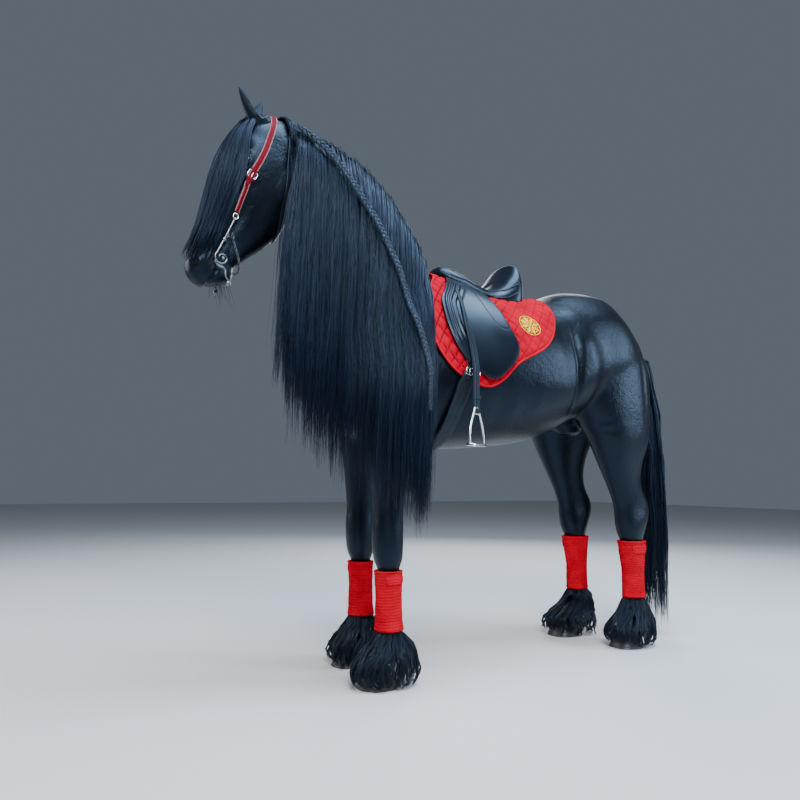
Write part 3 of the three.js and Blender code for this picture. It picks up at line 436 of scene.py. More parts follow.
def leg_rows(name):
    """Sections of one leg from the body down to the hoof."""
    side, cannon, hoof = (LEGS[name][key] for key in ("side", "cannon", "hoof"))
    table = FORELEG if name.startswith("fore") else HINDLEG
    rows = [[cannon + f, z, cannon + b, z, half, side * out] for z, f, b, half, out in table]
    slope, out = hoof - cannon, side * table[-1][4]
    toe, heel = hoof + HOOF["top_toe"], hoof + HOOF["top_heel"]
    rows += [
        [cannon - 46 + slope * 0.35, 142, cannon + 40 + slope * 0.3, 118,
         37 if table is FORELEG else 38, out],
        [toe - 1, HOOF["front"] + 14, heel - 12, HOOF["back"] + 18, 44, out],
        [toe, HOOF["front"], heel, HOOF["back"], HOOF["top_half"] - 3, out],
    ]
    return np.array([row + [0.5, 2.2, 2.2] for row in rows])


# Camera, floor and light
CAMERA = np.array([-1944.0, -2416.0, 725.0])
HEADING, PITCH, ROLL = math.radians(31.3), math.atan(82 / 700), math.radians(0.6)
LENS, FILM = 31.5, 36
# Each lamp: place and target in metres, width and height, watts, colour
LAMPS = {
    "key": ((-2.2, -4.4, 4.4), (0, 0, 1.1), (2.6, 2.6), 470, (0.97, 0.98, 1.0)),
    "sky": ((0.4, -1.0, 5.2), (0.2, 0, 1.2), (4.0, 2.4), 440, (0.58, 0.78, 1.0)),
    "side": ((4.8, -3.4, 2.6), (0.4, 0, 1.2), (1.6, 3.0), 250, (0.62, 0.80, 1.0)),
    "fill": ((-4.2, 2.8, 2.4), (-0.4, 0, 1.2), (2.6, 2.6), 110, (0.90, 0.95, 1.0)),
    "rear": ((3.4, 4.0, 3.2), (0.2, 0, 1.1), (3.0, 2.6), 170, (0.90, 0.95, 1.0)),
}


def add_to_scene(name, data):
    obj = bpy.data.objects.new(name, data)
    bpy.context.scene.collection.objects.link(obj)
    return obj


def set_camera():
    forward = Vector((math.sin(HEADING) * math.cos(PITCH), math.cos(HEADING) * math.cos(PITCH),
                      math.sin(PITCH)))
    right = Vector((math.cos(HEADING), -math.sin(HEADING), 0))
    up = right.cross(forward)
    side = right * math.cos(ROLL) + up * math.sin(ROLL)
    top = up * math.cos(ROLL) - right * math.sin(ROLL)
    data = bpy.data.cameras.new("camera")
    data.lens, data.sensor_width = LENS, FILM
    camera = add_to_scene("camera", data)
    columns = Matrix((side, top, -forward)).transposed().to_4x4()
    camera.matrix_world = Matrix.Translation(put(CAMERA)) @ columns
    bpy.context.scene.camera = camera


def studio():
    bpy.ops.mesh.primitive_plane_add(size=40, location=(0, 0, -0.0005))
    floor = bpy.context.object
    floor.name = "floor"
    floor.data.materials.append(material("pale_floor", (0.62, 0.60, 0.585), 0.75))

    world = bpy.data.worlds.new("studio")
    bpy.context.scene.world = world
    world.use_nodes = True
    back = world.node_tree.nodes["Background"]
    back.inputs["Color"].default_value = (0.66, 0.80, 1.0, 1)
    back.inputs["Strength"].default_value = 0.17

    for name, (place, target, size, power, colour) in LAMPS.items():
        light = bpy.data.lights.new(name, "AREA")
        light.shape = "RECTANGLE"
        light.size, light.size_y = size
        light.energy, light.color = power, colour
        lamp = add_to_scene(name, light)
        lamp.location = place
        lamp.rotation_euler = (Vector(target) - Vector(place)).to_track_quat("-Z", "Y").to_euler()



# Finishes
def material(name, colour, roughness, metallic=0.0, **more):
    made = bpy.data.materials.new(name)
    made.use_nodes = True
    inputs = made.node_tree.nodes["Principled BSDF"].inputs
    inputs["Base Color"].default_value = (*colour, 1)
    inputs["Roughness"].default_value = roughness
    inputs["Metallic"].default_value = metallic
    for key, value in more.items():
        inputs[key.replace("_", " ")].default_value = value
    return made


class Graph:
    """Short calls for laying out the nodes of a material or a group."""

    def __init__(self, tree):
        self.tree = tree
        self.shader = tree.nodes.get("Principled BSDF")

    def add(self, kind, inputs=None, **settings):
        node = self.tree.nodes.new(kind)
        for key, value in settings.items():
            setattr(node, key, value)
        for key, value in (inputs or {}).items():
            if isinstance(value, bpy.types.NodeSocket):
                self.tree.links.new(value, node.inputs[key])
            else:
                node.inputs[key].default_value = value
        return node.outputs

    def feed(self, socket, value):
        self.tree.links.new(value, self.shader.inputs[socket])

    def place(self):
        return self.add("ShaderNodeTexCoord")["Object"]

    def noise(self, vector, scale, detail, **more):
        return self.add("ShaderNodeTexNoise", {"Vector": vector, "Scale": scale, "Detail": detail, **more})

    def math(self, operation, a, b):
        return self.add("ShaderNodeMath", {0: a, 1: b}, operation=operation)[0]

    def spread(self, value, low, high, start=0.0, end=1.0):
        return self.add("ShaderNodeMapRange", {
            "Value": value, "From Min": start, "From Max": end, "To Min": low, "To Max": high})["Result"]

    def bump(self, strength, distance, height, **more):
        return self.add("ShaderNodeBump", {
            "Strength": strength, "Distance": distance, "Height": height, **more})["Normal"]

    def ramp(self, value, *stops):
        """A colour between two stops, each a place and a colour."""
        node = self.tree.nodes.new("ShaderNodeValToRGB")
        self.tree.links.new(value, node.inputs["Fac"])
        for element, (place, colour) in zip(node.color_ramp.elements, stops):
            element.position = place
            element.color = (*colour, 1)
        return node.outputs["Color"]


def grain_group():
    """Fine hair lying one way: a stretched grain for colour and height, with soft patches of wear."""
    tree = bpy.data.node_groups.new("lying_hair", "ShaderNodeTree")
    for name in ("Scale", "Stretch", "Patch Scale"):
        tree.interface.new_socket(name=name, in_out="INPUT", socket_type="NodeSocketFloat")
    for name in ("Grain", "Patches"):
        tree.interface.new_socket(name=name, in_out="OUTPUT", socket_type="NodeSocketFloat")
    g = Graph(tree)
    start = g.add("NodeGroupInput")
    end = tree.nodes.new("NodeGroupOutput").inputs
    place = g.place()
    wander = g.add("ShaderNodeVectorMath", {0: g.noise(place, 3.0, 1.0)["Color"], "Scale": 0.12},
                   operation="SCALE")[0]
    shifted = g.add("ShaderNodeVectorMath", {0: place, 1: wander}, operation="ADD")[0]
    stretch = g.add("ShaderNodeCombineXYZ", {"X": 1.0, "Y": 1.0, "Z": start["Stretch"]})[0]
    run = g.add("ShaderNodeVectorMath", {0: shifted, 1: stretch}, operation="MULTIPLY")[0]
    tree.links.new(g.noise(run, start["Scale"], 2.0)["Fac"], end["Grain"])
    tree.links.new(g.noise(place, start["Patch Scale"], 3.0)["Fac"], end["Patches"])
    return tree


def coat_material():
    made = material("coat", (0.002, 0.0026, 0.0045), 0.36, Specular_IOR_Level=0.30,
                    Specular_Tint=(0.46, 0.68, 1.0, 1))
    g = Graph(made.node_tree)
    place = g.place()
    hair = g.add("ShaderNodeGroup", {"Scale": 420.0, "Stretch": 0.22, "Patch Scale": 7.0},
                 node_tree=LYING_HAIR)
    g.feed("Base Color", g.ramp(hair["Patches"], (0.3, (0.0008, 0.0010, 0.0017)),
                                (0.7, (0.0019, 0.0026, 0.0048))))
    # the ears' hair is short and dull
    height = g.add("ShaderNodeSeparateXYZ", {"Vector": place})["Z"]
    dull = g.spread(height, 0.0, 0.34, 2.04, 2.09)
    g.feed("Roughness", g.math("ADD", g.spread(hair["Patches"], 0.24, 0.44), dull))
    swirl = g.bump(0.6, 0.0026, g.noise(place, 46.0, 3.0, Distortion=0.6)["Fac"])
    g.feed("Normal", g.bump(0.7, 0.0011, hair["Grain"], Normal=swirl))
    return made


def hair_material(name, dark, light, roughness):
    """Hair from dark to light by each strand's own tint."""
    made = material(name, dark, roughness, Specular_IOR_Level=0.42, Specular_Tint=(0.52, 0.70, 1.0, 1))
    g = Graph(made.node_tree)
    tint = g.add("ShaderNodeAttribute", attribute_name="tint")["Fac"]
    g.feed("Base Color", g.ramp(tint, (0.0, dark), (1.0, light)))
    g.feed("Roughness", g.spread(tint, roughness - 0.05, roughness + 0.09))
    return made


def leather(name, colour, roughness, level=0.38):
    made = material(name, colour, roughness, Specular_IOR_Level=level, Specular_Tint=(0.56, 0.76, 1.0, 1))
    g = Graph(made.node_tree)
    place = g.place()
    cells = g.add("ShaderNodeTexVoronoi", {"Vector": place, "Scale": 900.0}, feature="DISTANCE_TO_EDGE")
    wear = g.noise(place, 9.0, 4.0)["Fac"]
    g.feed("Roughness", g.spread(wear, roughness - 0.08, roughness + 0.12))
    g.feed("Normal", g.bump(0.25, 0.0003, cells["Distance"]))
    return made


def cloth(name, dark, light, scale, distance):
    """Napped cloth, darker in patches, and darkened with painted shade where its seam attribute marks a quilted
    groove.
    """
    made = material(name, light, 0.95, Specular_IOR_Level=0.05)
    g = Graph(made.node_tree)
    place = g.place()
    nap, patch = g.noise(place, scale, 3.0)["Fac"], g.noise(place, 14.0, 3.0)["Fac"]
    tone = g.ramp(g.math("MULTIPLY", g.math("ADD", nap, patch), 0.5), (0.35, dark), (0.65, light))
    seam = g.add("ShaderNodeAttribute", attribute_name="seam")["Fac"]
    # painted shade: a much darker red where the seam attribute marks a groove
    painted_groove_shade = (dark[0] * 0.32, dark[1], dark[2] * 0.4, 1)
    g.feed("Base Color", g.add("ShaderNodeMix", {0: seam, 6: tone, 7: painted_groove_shade}, data_type="RGBA")[2])
    g.feed("Normal", g.bump(0.5, distance, nap))
    return made


LYING_HAIR = grain_group()
COAT_BLACK = coat_material()
# strands range at random from dark to light; the light, blue tone stands in for streaks of reflected sky, a
# painted reflection
MANE_BLACK = hair_material("long_hair", (0.0010, 0.0018, 0.0042), (0.0056, 0.0120, 0.0290), 0.34)
# the braid's light tone, far paler than the mane's, is a painted highlight on the plait
BRAID_BLACK = hair_material("braided_hair", (0.0030, 0.0050, 0.0100), (0.0640, 0.0880, 0.1260), 0.34)
FEATHER_BLACK = hair_material("leg_hair", (0.0009, 0.0012, 0.0022), (0.0040, 0.0058, 0.0110), 0.40)
EYE_WET = material("wet_eye", (0.012, 0.006, 0.004), 0.06, Coat_Weight=1.0)
HORN = material("hoof_horn", (0.024, 0.025, 0.030), 0.46)
RED_COTTON = cloth("red_cotton", (0.30, 0.0003, 0.010), (0.52, 0.0006, 0.019), 1400.0, 0.0005)
RED_BINDING = cloth("red_binding", (0.36, 0.0004, 0.012), (0.56, 0.0006, 0.021), 1800.0, 0.0003)
RED_FLEECE = cloth("red_fleece", (0.30, 0.0003, 0.007), (0.56, 0.0006, 0.015), 420.0, 0.0016)
YELLOW_THREAD = cloth("yellow_thread", (0.62, 0.40, 0.02), (0.85, 0.62, 0.05), 1500.0, 0.0004)
SADDLE_LEATHER = leather("saddle_leather", (0.0026, 0.0042, 0.0085), 0.30)
STRAP_LEATHER = leather("strap_leather", (0.0045, 0.0062, 0.0095), 0.38)
RED_LEATHER = leather("red_leather", (0.125, 0.0003, 0.0065), 0.60, level=0.08)
PALE_EDGE = leather("pale_edge", (0.48, 0.27, 0.22), 0.5)
THREAD = material("thread", (0.03, 0.034, 0.042), 0.6)
STEEL = material("steel", (0.70, 0.70, 0.70), 0.24, 1.0)
BIT_STEEL = material("bit_steel", (0.19, 0.195, 0.21), 0.30, 1.0)
DARK_STEEL = material("dark_steel", (0.12, 0.125, 0.135), 0.34, 1.0)
RUBBER = material("tread_rubber", (0.02, 0.02, 0.02), 0.7)

set_camera()
studio()


def body_source():
    """The rough forms that one skin is drawn over."""
    parts = [loft(TRUNK, 76, 56, -5), loft(NECK, 44, 44, -3), loft(HEAD, 72, 48, -COAT)]
    for side in SIDES.values():
        parts.append(ball([-716, side * 112, 1130], [82, 82, 116]))
        parts.append(ball([-560, side * 182, 1085], [134, 72, 164]))
        parts.append(cheek(side))
    parts.append(ball([432, 0, 1010], [110, 60, 60], tilt=0.25))
    return parts + [loft(leg_rows(name), 64, 28, -COAT) for name in LEGS]


def bumps(points, table):
    """How far forms under the skin push it out at each point."""
    return sum(gauss(points, row[:3], row[3:6]) * row[6] for row in table)


# Forms under the skin: centre x, y on the right, z; radii; millimetres out (+) or in (-)
MUSCLES = [
    (-700, 196, 1150, 62, 70, 74, 13),     # point of the shoulder
    (-560, 226, 1130, 120, 60, 86, 13),    # heavy muscle behind the shoulder
    (-505, 236, 1010, 70, 60, 60, 9),      # above the elbow
    (-640, 205, 1290, 46, 90, 150, 8),     # along the shoulder blade
    (-585, 205, 1330, 22, 90, 170, -7),    # groove of the blade
    (-520, 205, 1400, 60, 80, 120, 6),
    (-470, 215, 1230, 40, 90, 190, -7),    # behind the shoulder
    (-800, 66, 1150, 46, 52, 96, 12),      # breast
    (-812, 0, 1130, 30, 16, 120, -14),     # breast furrow
    (-690, 70, 930, 80, 60, 40, 8),
    (-350, 215, 900, 120, 70, 40, 6),
    (-250, 300, 1150, 60, 60, 150, 4),
    (150, 300, 1080, 160, 60, 90, 7),      # belly
    (176, 300, 1350, 52, 60, 100, -11),    # hollow of the flank
    (258, 275, 1484, 52, 70, 46, 11),      # point of the hip
    (430, 250, 1480, 130, 80, 80, 10),     # rump
    (520, 170, 1580, 110, 70, 60, 6),
    (505, 0, 1660, 260, 14, 60, -8),       # furrow along the croup
    (560, 262, 1290, 130, 60, 120, 10),    # outer thigh
    (700, 230, 1230, 22, 70, 190, -8),     # groove down the ham
    (770, 176, 1210, 48, 60, 120, 5),
    (760, 90, 1510, 90, 130, 70, -6),      # slope of the croup to the dock
    (340, 240, 1050, 54, 56, 66, 15),      # stifle
    (334, 280, 1200, 62, 80, 150, 20),     # front of the thigh
    (300, 290, 1330, 50, 80, 80, 9),
    (236, 288, 1160, 16, 80, 110, -19),    # deep fold in front of the stifle
    (228, 300, 1320, 17, 80, 90, -15),     # and its run up the flank
    (400, 250, 1004, 80, 60, 14, -4),      # creases above the stifle
    (500, 238, 960, 70, 60, 12, -3),
    (560, 226, 940, 70, 50, 76, 8),        # gaskin
    (590, 212, 850, 60, 44, 60, 5),
    (-600, 204, 900, 44, 40, 90, 8),       # forearm, front
    (-640, 160, 560, 34, 70, 36, 5),       # knee
    (-560, 208, 640, 12, 40, 90, -3),
    (-180, 296, 985, 26, 60, 80, -4),      # last ribs
    (-110, 300, 1000, 26, 60, 80, 4),
    (10, 306, 1040, 30, 60, 80, 3),
    (-520, 208, 900, 26, 40, 90, 5),
    (-566, 210, 880, 14, 30, 100, -5),
    (-790, 120, 1420, 90, 60, 120, 7),     # base of the neck
    (-640, 150, 1540, 120, 50, 70, 7),
    (-740, 132, 1700, 130, 40, 60, 6),
    (-860, 80, 1640, 40, 60, 120, -7),     # furrow above the windpipe
    (-905, 20, 1600, 30, 50, 130, 6),
    (-470, 60, 1600, 60, 40, 60, 8),
]
# The same for the head: u, v and y on the right
FACE = [
    (214, 74, 84, 40, 15, 22, 8.0),        # brow above the eye
    (178, 62, 82, 26, 17, 20, -8.0),       # hollow above the brow
    (236, 44, 92, 30, 22, 20, 5.0),        # eyeball under its lids
    (262, 24, 92, 30, 12, 18, -5.0),       # below the lids
    (322, 16, 84, 74, 11, 22, 7.5),        # face crest
    (400, 20, 76, 42, 9, 20, 5.0),
    (350, 48, 70, 74, 16, 22, -7.0),       # hollow between crest and nose
    (440, 44, 56, 70, 16, 20, -7.0),
    (430, -10, 66, 70, 20, 22, -6.0),      # below the crest
    (200, -78, 96, 92, 66, 30, 6.0),       # cheek
    (300, -120, 84, 70, 40, 30, 4.0),
    (150, -160, 84, 50, 22, 30, -5.0),     # behind the cheek
    (120, 40, 80, 30, 40, 24, -4.0),       # temple
    (470, 78, 0, 90, 20, 26, -3.0),        # bridge of the nose
    (560, 88, 0, 40, 20, 22, 3.0),
    (505, -96, 0, 50, 26, 30, -4.0),       # behind the chin
    (628, -70, 0, 24, 18, 32, 5.0),        # chin
    (560, -20, 56, 46, 16, 20, 4.0),       # side of the mouth
    (684, 34, 24, 18, 20, 26, 3.0),        # upper lip
    (668, -36, 22, 16, 18, 26, 2.0),       # lower lip
    (636, 62, 56, 32, 22, 18, 6.0),        # wing of the nostril
    (612, 84, 44, 22, 16, 18, 4.0),
    (600, 60, 56, 18, 22, 18, -5.0),
    (651, 71, 54, 12, 11, 15, -17),        # pit of the nostril
    (634, 84, 50, 16, 7, 14, -9),          # its slit, up and back
    (652, 71, 54, 25, 22, 20, 6.5),        # its rim
]
# The mouth's slit, in the head's own u and v
MOUTH = [(706, -2), (680, -4), (644, -11), (596, -16)]


# Flesh in one skin
def cheek(side, *net):
    x, z = head_point(232, -92)
    return ball([x, side * 58, z], [82, 38, 90], *net)


def gauss(points, centre, radii):
    d = (points - np.array(centre)) / np.array(radii)
    return np.exp(-(d ** 2).sum(1))


def mouth_line(spots):
    """Depth of the mouth's slit, and the lips that stand up along it."""
    off, _ = near_line(spots[:, :2], MOUTH)
    groove = np.exp(-(off / 3.6) ** 2) * -6.5
    lips = np.exp(-((off - 11) / 7.0) ** 2) * 2.2
    return (groove + lips) * smooth((spots[:, 0] - 560) / 30)


def finer_head(obj):
    """Halve the faces of the head and lay it back on its own form."""
    bm = bmesh.new()
    bm.from_mesh(obj.data)
    edge_x, _, low = put([-1004, 0, HEAD_LOW])
    middles = ((f, f.calc_center_median()) for f in bm.faces)
    edges = list({e for f, m in middles if m.x < edge_x and m.z > low for e in f.edges})
    bmesh.ops.subdivide_edges(bm, edges=edges, cuts=1, use_grid_fill=True)
    bmesh.ops.triangulate(bm, faces=[f for f in bm.faces if len(f.verts) > 4])
    bm.to_mesh(obj.data)
    bm.free()

    tree = tree_of(*many([loft(HEAD, 110, 72, -COAT)] + [cheek(side, 48, 32) for side in SIDES.values()]))
    co = coords(obj)
    u, v = head_uv(co)
    reach, fade = 9.0, 4.0
    for i in np.where((co[:, 0] < -1010) & (co[:, 2] > HEAD_LOW) & (u > 40) & (v > -175))[0]:
        foot, _, _, far = tree.find_nearest(Vector(co[i]), reach)
        if foot is not None:
            pull = np.clip((reach - far) / fade, 0, 1) * min(1.0, (u[i] - 40) / 60)
            co[i] = lerp(co[i], np.array(foot), pull)
    set_coords(obj, co)
    relax(obj, 2, 0.35)


def build_skin():
    obj = mesh_object("skin", *many(body_source()))
    remeshed(obj, 0.0105, 7)
    finer_head(obj)
    co = coords(obj)
    mirrored = co * [1, 0, 1] + np.abs(co) * [0, 1, 0]
    u, v = head_uv(co)
    spots = np.stack([u, v, mirrored[:, 1]], 1)
    on_head = (co[:, 0] < -1000) & (co[:, 2] > HEAD_LOW)
    face = (bumps(spots, FACE) + mouth_line(spots)) * smooth((u - 20) / 60)
    push = bumps(mirrored, MUSCLES) + np.where(on_head, face, 0)
    set_coords(obj, co + normals(obj) * push[:, None])
    relax(obj, 1, 0.25 * (1 - 0.7 * on_head[:, None]))
    return obj


# Rows of a lid from the slit's edge out to where it sinks into the face: reach, radius, fold
LID_ROWS = [(1.0, 19.0, 0), (1.0, 20.6, 0), (1.06, 22.6, 0.2), (1.2, 23.6, 0.6), (1.34, 22.6, 1.0),
            (1.5, 23.4, 0.8), (1.78, 22.0, 0.3), (2.2, 17.5, 0), (2.6, 9, 0)]


def lids(side):
    """The upper and the lower lid round an almond slit."""
    ex, ez, ey = EYE_CENTRE
    centre = np.array([ex, side * ey, ez])
    out = unit(np.array([0.10 * HEAD_OUT[0], side * 1.0, 0.10 * HEAD_OUT[1]]))
    axis = np.array([HEAD_LINE[0], 0, HEAD_LINE[1]])
    axis = unit(axis - out * (axis @ out))
    up = np.cross(out, axis) * side
    count, slit, upper, lower = 48, 17.5, 10.0, 8.0
    turn = angles(count)
    c, s = np.cos(turn), np.sin(turn)
    rings = []
    for reach, radius, fold in LID_ROWS:
        across = c * slit * reach
        rise = s * np.where(s > 0, upper, lower) * reach * (1 - 0.32 * np.abs(c) ** 3)
        r = radius + fold * 2.2 * np.maximum(0, s)
        off = np.hypot(across, rise)
        flat = np.minimum(0.999, off / np.maximum(r, off + 0.01))
        depth = np.sqrt(1 - flat ** 2) * r if reach < 1.9 else np.full(count, radius)
        rings.append(centre + across[:, None] * axis + rise[:, None] * up + depth[:, None] * out)
    return np.concatenate(rings), band(len(rings), count)


EAR_TIPS = {LEFT: (-1211, -62.0, 2142), RIGHT: (-1079, 60.0, 2180)}
EAR_WIDTHS = [[0, 1.22], [0.3, 1.34], [0.5, 1.17], [0.7, 0.82], [0.88, 0.42], [1, 0.05]]


def ear(side):
    """A pointed ear, its cup pressed in behind the rim, open forwards and outwards."""
    bx, bz = head_point(34, 54)
    base, tip = np.array([bx, side * 50.0, bz]), np.array(EAR_TIPS[side])
    way = unit(tip - base)
    base = base - way * 30
    wide = unit(np.cross([0, 1, 0], way))
    deep = np.cross(wide, way)
    opening = unit(wide + np.array([0, side, 0]) * 0.55)
    half_wide, half_deep, cup = 30, 20, 34
    t = np.linspace(0, 1, 40)
    width = soften(along(EAR_WIDTHS, t), 2)[:, None, None]
    turn = angles(48)[:, None]
    rings = base + (tip - base) * t[:, None, None] \
        + np.cos(turn) * wide * half_wide * width + np.sin(turn) * deep * half_deep * width
    facing = ((rings - rings.mean(1, keepdims=True)) @ opening) / half_wide
    length = np.sin(np.pi * np.clip((t - 0.16) / 0.84, 0, 1) ** 0.8)[:, None]
    depth = smooth((facing - 0.15) / 0.5) * length
    return closed(rings - opening * (depth[..., None] * cup * width))


skin = build_skin()
ear_parts = [make(side) for side in SIDES.values() for make in (ear, lids)]
ears = turned(mesh_object("ears", *many(ear_parts)), merge=False)
pick(skin, ears)
bpy.ops.object.join()
skin.data.shade_smooth()
finish(skin, COAT_BLACK, "coat", "torso", "head", "ear_left", "ear_right", "neck",
       *["leg_" + n for n in LEGS])
SKIN_TREE = mesh_tree(skin)

for name, side in SIDES.items():
    ex, ez, ey = EYE_CENTRE
    eye = mesh_object("eye_ball_" + name, *ball([ex, side * ey, ez], [EYE_RADIUS] * 3, 40, 28))
    finish(eye, EYE_WET, "eye", "eye_" + name)


def hoof(name):
    """A hoof in three rows: coronet, low on the wall, and sole, with faint growth rings."""
    centre, y = LEGS[name]["hoof"], LEGS[name]["side"] * HALF_TRACK
    front, back, bend = HOOF["front"], HOOF["back"], 0.76
    top, wall, sole = (np.array(row) for row in (
        [centre + HOOF["top_toe"], front, centre + HOOF["top_heel"], back, HOOF["top_half"], y, 0.5, 2.2, 2.4],
        [centre + HOOF["toe"] + 8, front * 0.24, centre + HOOF["heel"] - 2, back * 0.24, HOOF["half"] - 5, y,
         0.5, 2.2, 2.6],
        [centre + HOOF["toe"], 0, centre + HOOF["heel"], 0, HOOF["half"], y, 0.5, 2.2, 2.6]))
    rings = []
    for t in np.linspace(0, 1, 30):
        row = lerp(top, wall, t / bend) if t < bend else lerp(wall, sole, (t - bend) / (1 - bend))
        rings.append(section(row, 56, -0.6 + 0.5 * math.sin(t * 46) * (0.3 + t)))
    verts, faces = closed(rings)
    verts[:, 2] = np.maximum(verts[:, 2], 0)
    finish(mesh_object("horn_" + name, verts, faces), HORN, "horn", "hoof_" + name)


for name in LEGS:
    hoof(name)

# Hair
def reach_map(side):
    """How far the body stands out from the middle on one side, over x and z."""
    step = 12.0
    xs, zs = np.arange(-1160, -300, step), np.arange(20, 2160, step)
    out = np.zeros((len(xs), len(zs)))
    for i, x in enumerate(xs):
        for j, z in enumerate(zs):
            foot, _ = from_side(SKIN_TREE, x, z, side, 700)
            if foot is not None:
                out[i, j] = foot.y * side

    def look(x, z):
        a = np.clip((x - xs[0]) / step, 0, len(xs) - 1.001)
        b = np.clip((z - zs[0]) / step, 0, len(zs) - 1.001)
        i, j = a.astype(int), b.astype(int)
        near, next_one = (lerp(out[i, k], out[i + 1, k], a - i) for k in (j, j + 1))
        return lerp(near, next_one, b - j)

    return look


body_reach = reach_map(LEFT)


def strands(name, node, paint, paths, width, thick, outward, rng, roots, tint=None):
    """Closed, thin, three-sided hairs along paths, rooted in the map, each with a tint of its own."""
    n, k = paths.shape[:2]
    tiny = 1e-9
    tangent = np.gradient(paths, axis=1)
    tangent /= np.linalg.norm(tangent, axis=2, keepdims=True) + tiny
    normal = outward - (outward * tangent).sum(2, keepdims=True) * tangent
    normal /= np.linalg.norm(normal, axis=2, keepdims=True) + tiny
    side = np.cross(tangent, normal)
    twist = rng.normal(0, 0.45, (n, 1, 1))
    normal, side = (normal * np.cos(twist) + side * np.sin(twist),
                    side * np.cos(twist) - normal * np.sin(twist))
    t = np.linspace(0, 1, k)[None, :, None]
    tip = np.maximum(0, (t - 0.55) / 0.45) ** 1.4
    taper = np.minimum(1, 0.55 + t * 6) * (1 - 0.82 * tip)
    w = width[:, None, None] * taper * 0.5
    h = thick[:, None, None] * taper
    verts = np.stack([paths - side * w, paths + normal * h, paths + side * w], 2).reshape(-1, 3)
    one = []
    for r in range(0, k * 3 - 3, 3):
        for a, b in ((0, 1), (1, 2), (2, 0)):
            one += [(r + a, r + b, r + 3 + b), (r + a, r + 3 + b, r + 3 + a)]
    one += [(0, 2, 1), (k * 3 - 3, k * 3 - 2, k * 3 - 1)]
    faces = (np.array(one)[None] + (np.arange(n) * k * 3)[:, None, None]).reshape(-1, 3)
    patch = np.stack(np.broadcast_arrays(np.arange(3)[None] * 0.0014, np.linspace(0, 0.003, k)[:, None]), 2)
    made = mesh_object(name, verts, faces, (roots[:, None, None, :] + patch[None]).reshape(-1, 2))
    tone = np.clip(rng.normal(0.35, 0.22, n) if tint is None else tint, 0, 1)
    tones = np.clip(tone[:, None] + 0.12 * np.linspace(-1, 1, k)[None], 0, 1)
    per_point(made, "tint", np.repeat(tones.ravel(), 3))
    finish(made, paint, "coat_and_hair", node)


def clumps(rng, hairs, locks):
    """Which lock each hair is in, and where it lies in it."""
    which = rng.integers(0, locks, hairs)
    angle, far = rng.uniform(0, 2 * np.pi, hairs), np.sqrt(rng.uniform(0, 1, hairs))
    return which, far * np.cos(angle), far * np.sin(angle)


def drawn(paths, centre, t, share, start, over):
    """Hairs drawn towards the middle of their lock, from start on along them."""
    return paths + (centre - paths) * (share * smooth((t - start) / over))[..., None]


CREST = [[-976, 2052], [-944, 2064], [-870, 2070], [-742, 2038], [-602, 1956], [-482, 1826], [-410, 1716],
         [-384, 1664]]
MANE_TIPS = [[-1038, 1030], [-976, 870], [-890, 745], [-790, 650], [-700, 590], [-620, 550], [-560, 520],
             [-530, 500]]
# Hairs in each layer of the mane; the innermost is hidden by the others
MANE_LAYERS = [900, 2530, 2530, 2530]
MANE_LOCKS = 130


def mane_paths(share, clear, lift, t):
    """Hairs from the crest over the top of the neck and down its left side."""
    root, tip = through(CREST, share), through(MANE_TIPS, share)
    fall = t ** 1.3
    x = lerp(root[:, :1] - 4, tip[:, :1], 1 - (1 - fall) ** 2.2)
    z = lerp(root[:, 1:], tip[:, 1:] + lift[:, None], fall)
    reach = np.maximum.accumulate(np.maximum(body_reach(x, z), body_reach(x, z + 40)), axis=1)
    x[:, 0] += 2
    rise = np.sin(np.pi * np.clip(t / 0.09, 0, 1)) * (3 + 0.35 * clear[:, None])
    z = z - 18 * (1 - smooth(t / 0.035)) + rise
    y = lerp(6.0, -(reach + clear[:, None]), smooth(t / 0.07))
    return np.stack([x, y, z], 2)


def mane():
    locks, points = MANE_LOCKS, 11
    for layer, hairs in enumerate(MANE_LAYERS):
        rng = np.random.default_rng(100 + layer)
        lock_share = (np.arange(locks) + rng.uniform(0.1, 0.9, locks)) / locks
        lock_clear = 3 + 8 * layer + rng.uniform(-3, 6, locks)
        lock_lift = rng.uniform(0, 120, locks) + 30 * layer * rng.uniform(0, 1, locks)
        phase, bend = rng.uniform(0, 6.3, locks), rng.normal(0, 1, locks)
        which, a, b = clumps(rng, hairs, locks)
        loose = rng.uniform(0, 1, hairs) < 0.14
        share = np.clip(lock_share[which] + a * 0.55 / locks * np.where(loose, 4.0, 1.0), 0.0, 1)
        end = np.clip(1 - np.abs(rng.normal(0, 0.10, hairs)), 0.55, 1)
        t = np.linspace(0, 1, points)[None] * end[:, None]
        # each lock draws together, bends and waves a little of its own
        centre = mane_paths(lock_share[which], lock_clear[which], lock_lift[which], t)
        paths = drawn(mane_paths(share, lock_clear[which] + 3 * b, lock_lift[which], t), centre, t,
                      np.where(loose, 0.048, 0.48)[:, None], 0.25, 0.7)
        turn, loose = phase[which][:, None], loose[:, None]
        wave = np.sin(t * 21 + turn) * 3.0 + np.sin(t * 11 + 2 * turn) * 5
        paths[..., 0] += (wave + bend[which][:, None] * 16 * t) * smooth(t * 3)
        paths[..., 0] += rng.normal(0, 1, hairs)[:, None] * np.where(loose, 16, 4) * t ** 1.5
        paths[..., 1] -= np.abs(rng.normal(0, 1, hairs))[:, None] * np.where(loose, 7, 1.5) * t
        outward = np.broadcast_to([0.0, -1, 0.15], paths.shape)
        roots = np.stack([0.03 + 0.93 * share, 0.35 + 0.3 * rng.uniform(0, 1, hairs)], 1)
        # each strand's tone differs at random, and some locks are lifted towards the light tone: painted streaks
        # of reflected sky
        strands(f"mane_{layer + 1}", "neck", MANE_BLACK, paths, rng.uniform(1.3, 2.6, hairs),
                rng.uniform(0.5, 0.9, hairs), outward, rng, roots,
                rng.normal(0.3, 0.16, hairs) + 0.34 * (rng.uniform(0, 1, locks) ** 2)[which])


